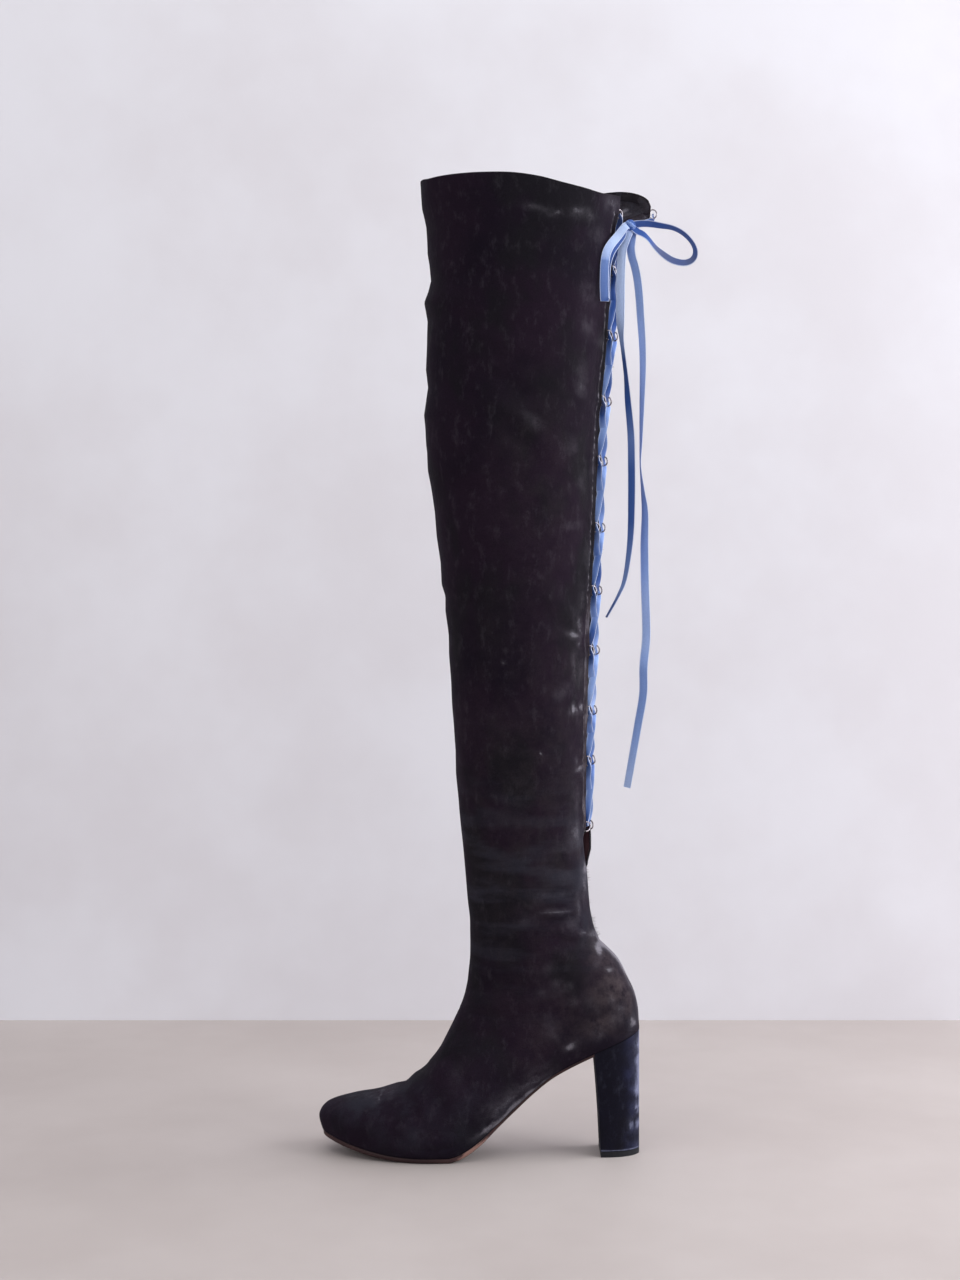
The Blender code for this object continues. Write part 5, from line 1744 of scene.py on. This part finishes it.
def lacing():
    """Two ribbons zigzag up the slit and cross between one pair of eyes and the next."""
    for number in range(len(EYE_STEPS) - 1):
        near, far = crossing(number, -1), crossing(number, 1)
        places, quads = join([near[:2], far[:2]])
        across = near[2] + far[2]
        # Painted shade down the middle of each ribbon, paler toward its edges.
        tone = [t + 0.4 - 0.6 * abs(a) for t, a in zip(near[3] + far[3], across)]
        made = mesh_object(f"ribbon_cross_{number + 1:02d}", places, quads, RIBBON, 50)
        give(made, across=across, tone=tone)
        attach(made, "root")
        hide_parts(f"lace_cross_{number + 1:02d}")


lacing()


# Frays, fuzz and the threads that hold the eyes


FRAY_RADIUS = 0.00013
FUZZ_RADIUS = 0.00006
# Fringes of the far edge: lowest and highest point in metres, and how many threads.
FAR_FRINGES = ((0.574, 0.614, 120), (0.400, 0.420, 50), (0.428, 0.467, 110), (0.214, 0.246, 90))
# Broken threads of the back seam: lowest and highest point, how many and the longest in millimetres.
SEAM_FRINGES = ((0.160, 0.176, 44, 3.2), (0.198, 0.216, 24, 2.6), (0.176, 0.198, 10, 1.4))
FUZZ_COUNT = 1500


def hairs(name, roots, ways, lengths, radius, material):
    """Thin bent cones, joined in one mesh."""
    parts = []
    for root, way, length, turn in zip(roots, ways, lengths, DICE.uniform(-1, 1, (len(roots), 3))):
        way = np.array(way) / np.linalg.norm(way)
        path = [root + way * length * t + turn * length * 0.35 * t * t for t in (0, 0.35, 0.7, 1.0)]
        parts.append(tube(path, radius, 3, (1.0, 0.85, 0.6, 0.15)))
    places, quads = join(parts)
    made = mesh_object(name, places, quads, material, 180)
    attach(made, "root")


DICE = np.random.default_rng(7)


def edge_frays():
    """Short dark threads that stand out of both edges of the slit."""
    roots, ways, lengths = [], [], []
    fringes = [(-1, 0.112, 0.985, 340, 1.6), (1, 0.112, 0.985, 480, 2.2), (-1, 0.95, 0.99, 60, 2.6)]
    for low_z, high_z, count in FAR_FRINGES:
        low_up, high_up = ((z - ANKLE.front.z) / LEG_HEIGHT for z in (low_z, high_z))
        fringes.append((1, low_up, high_up, count, 2.8))
    for side, low_up, high_up, count, longest in fringes:
        for up in DICE.uniform(low_up, high_up, count):
            at, out = slit_edge(up, side)
            shift = DICE.uniform(-0.0008, 0.0008)
            roots.append(np.array(at[:]) + np.array([edge_reach(at.z, side), shift, 0]))
            ways.append(np.array(out[:]) + DICE.normal(0, 0.45, 3))
            lengths.append(DICE.uniform(0.5, longest) * MM)
    for up in DICE.uniform(0.955, 0.992, 90):
        at, out = slit_edge(up, -1)
        roots.append(np.array(at[:]))
        ways.append(np.array(out[:]) + DICE.normal(0, 0.6, 3))
        lengths.append(DICE.uniform(0.8, 2.0) * MM)
    hairs("edge_frays", roots, ways, lengths, FRAY_RADIUS, THREAD)


def ankle_frays():
    """Pale broken threads of the back seam, at the ankle's kink and under the slit."""
    roots, ways, lengths = [], [], []
    for low, high, count, longest in SEAM_FRINGES:
        spots = np.flatnonzero((BACK_POINTS[:, 2] > low) & (BACK_POINTS[:, 2] < high))
        for spot in DICE.choice(spots, count):
            roots.append(BACK_POINTS[spot])
            ways.append(BACK_WAYS[spot] + np.array([0.3, 0, 0.1]) + DICE.normal(0, 0.3, 3))
            lengths.append(DICE.uniform(0.8, longest) * MM)
    hairs("ankle_frays", roots, ways, lengths, FRAY_RADIUS, PALE_THREAD)


def collar_fuzz():
    """Pile that stands up along the collar's rim."""
    roots, ways, lengths = [], [], []
    section = leg_section(1.0)
    for turn, side in zip(DICE.uniform(0.0, 1.0, FUZZ_COUNT), DICE.choice([-1, 1], FUZZ_COUNT)):
        at = np.array(section_point(section, side, turn)[:])
        out = at - np.array([-0.07, 0, at[2]])
        out /= np.linalg.norm(out)
        roots.append(at - out * DICE.uniform(0.0002, 0.0016))
        ways.append(np.array([0, 0, 1.0]) + out * DICE.uniform(-0.3, 0.8) + DICE.normal(0, 0.25, 3))
        lengths.append(DICE.uniform(0.4, 0.95) * MM)
    hairs("collar_fuzz", roots, ways, lengths, FUZZ_RADIUS, THREAD)


THREAD_RADIUS = 0.00017
THREAD_STEPS = 36
STEPS_A_TURN = 9


def eye_threads():
    """Turns of thread round both feet of every eye, down to the flap."""
    parts = []
    for number in range(len(EYE_STEPS)):
        for side in (-1, 1):
            _, out = eye_seat(number, side)
            for way in (-1, 1):
                foot = eye_foot(number, side, way)
                path = []
                for k in range(THREAD_STEPS + 1):
                    angle = 2 * math.pi * k / STEPS_A_TURN
                    along = -0.0016 + 0.0026 * k / THREAD_STEPS
                    round_y = Vector((-out.y, out.x, 0)) * math.cos(angle) * WIRE_RADIUS * 1.5
                    round_z = Vector((0, 0, math.sin(angle) * WIRE_RADIUS * 1.5))
                    path.append((foot + out * along + round_y + round_z)[:])
                parts.append(tube(path, THREAD_RADIUS, 5))
    places, quads = join(parts)
    made = mesh_object("eye_threads", places, quads, THREAD, 180)
    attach(made, "root")


edge_frays()
ankle_frays()
collar_fuzz()
eye_threads()
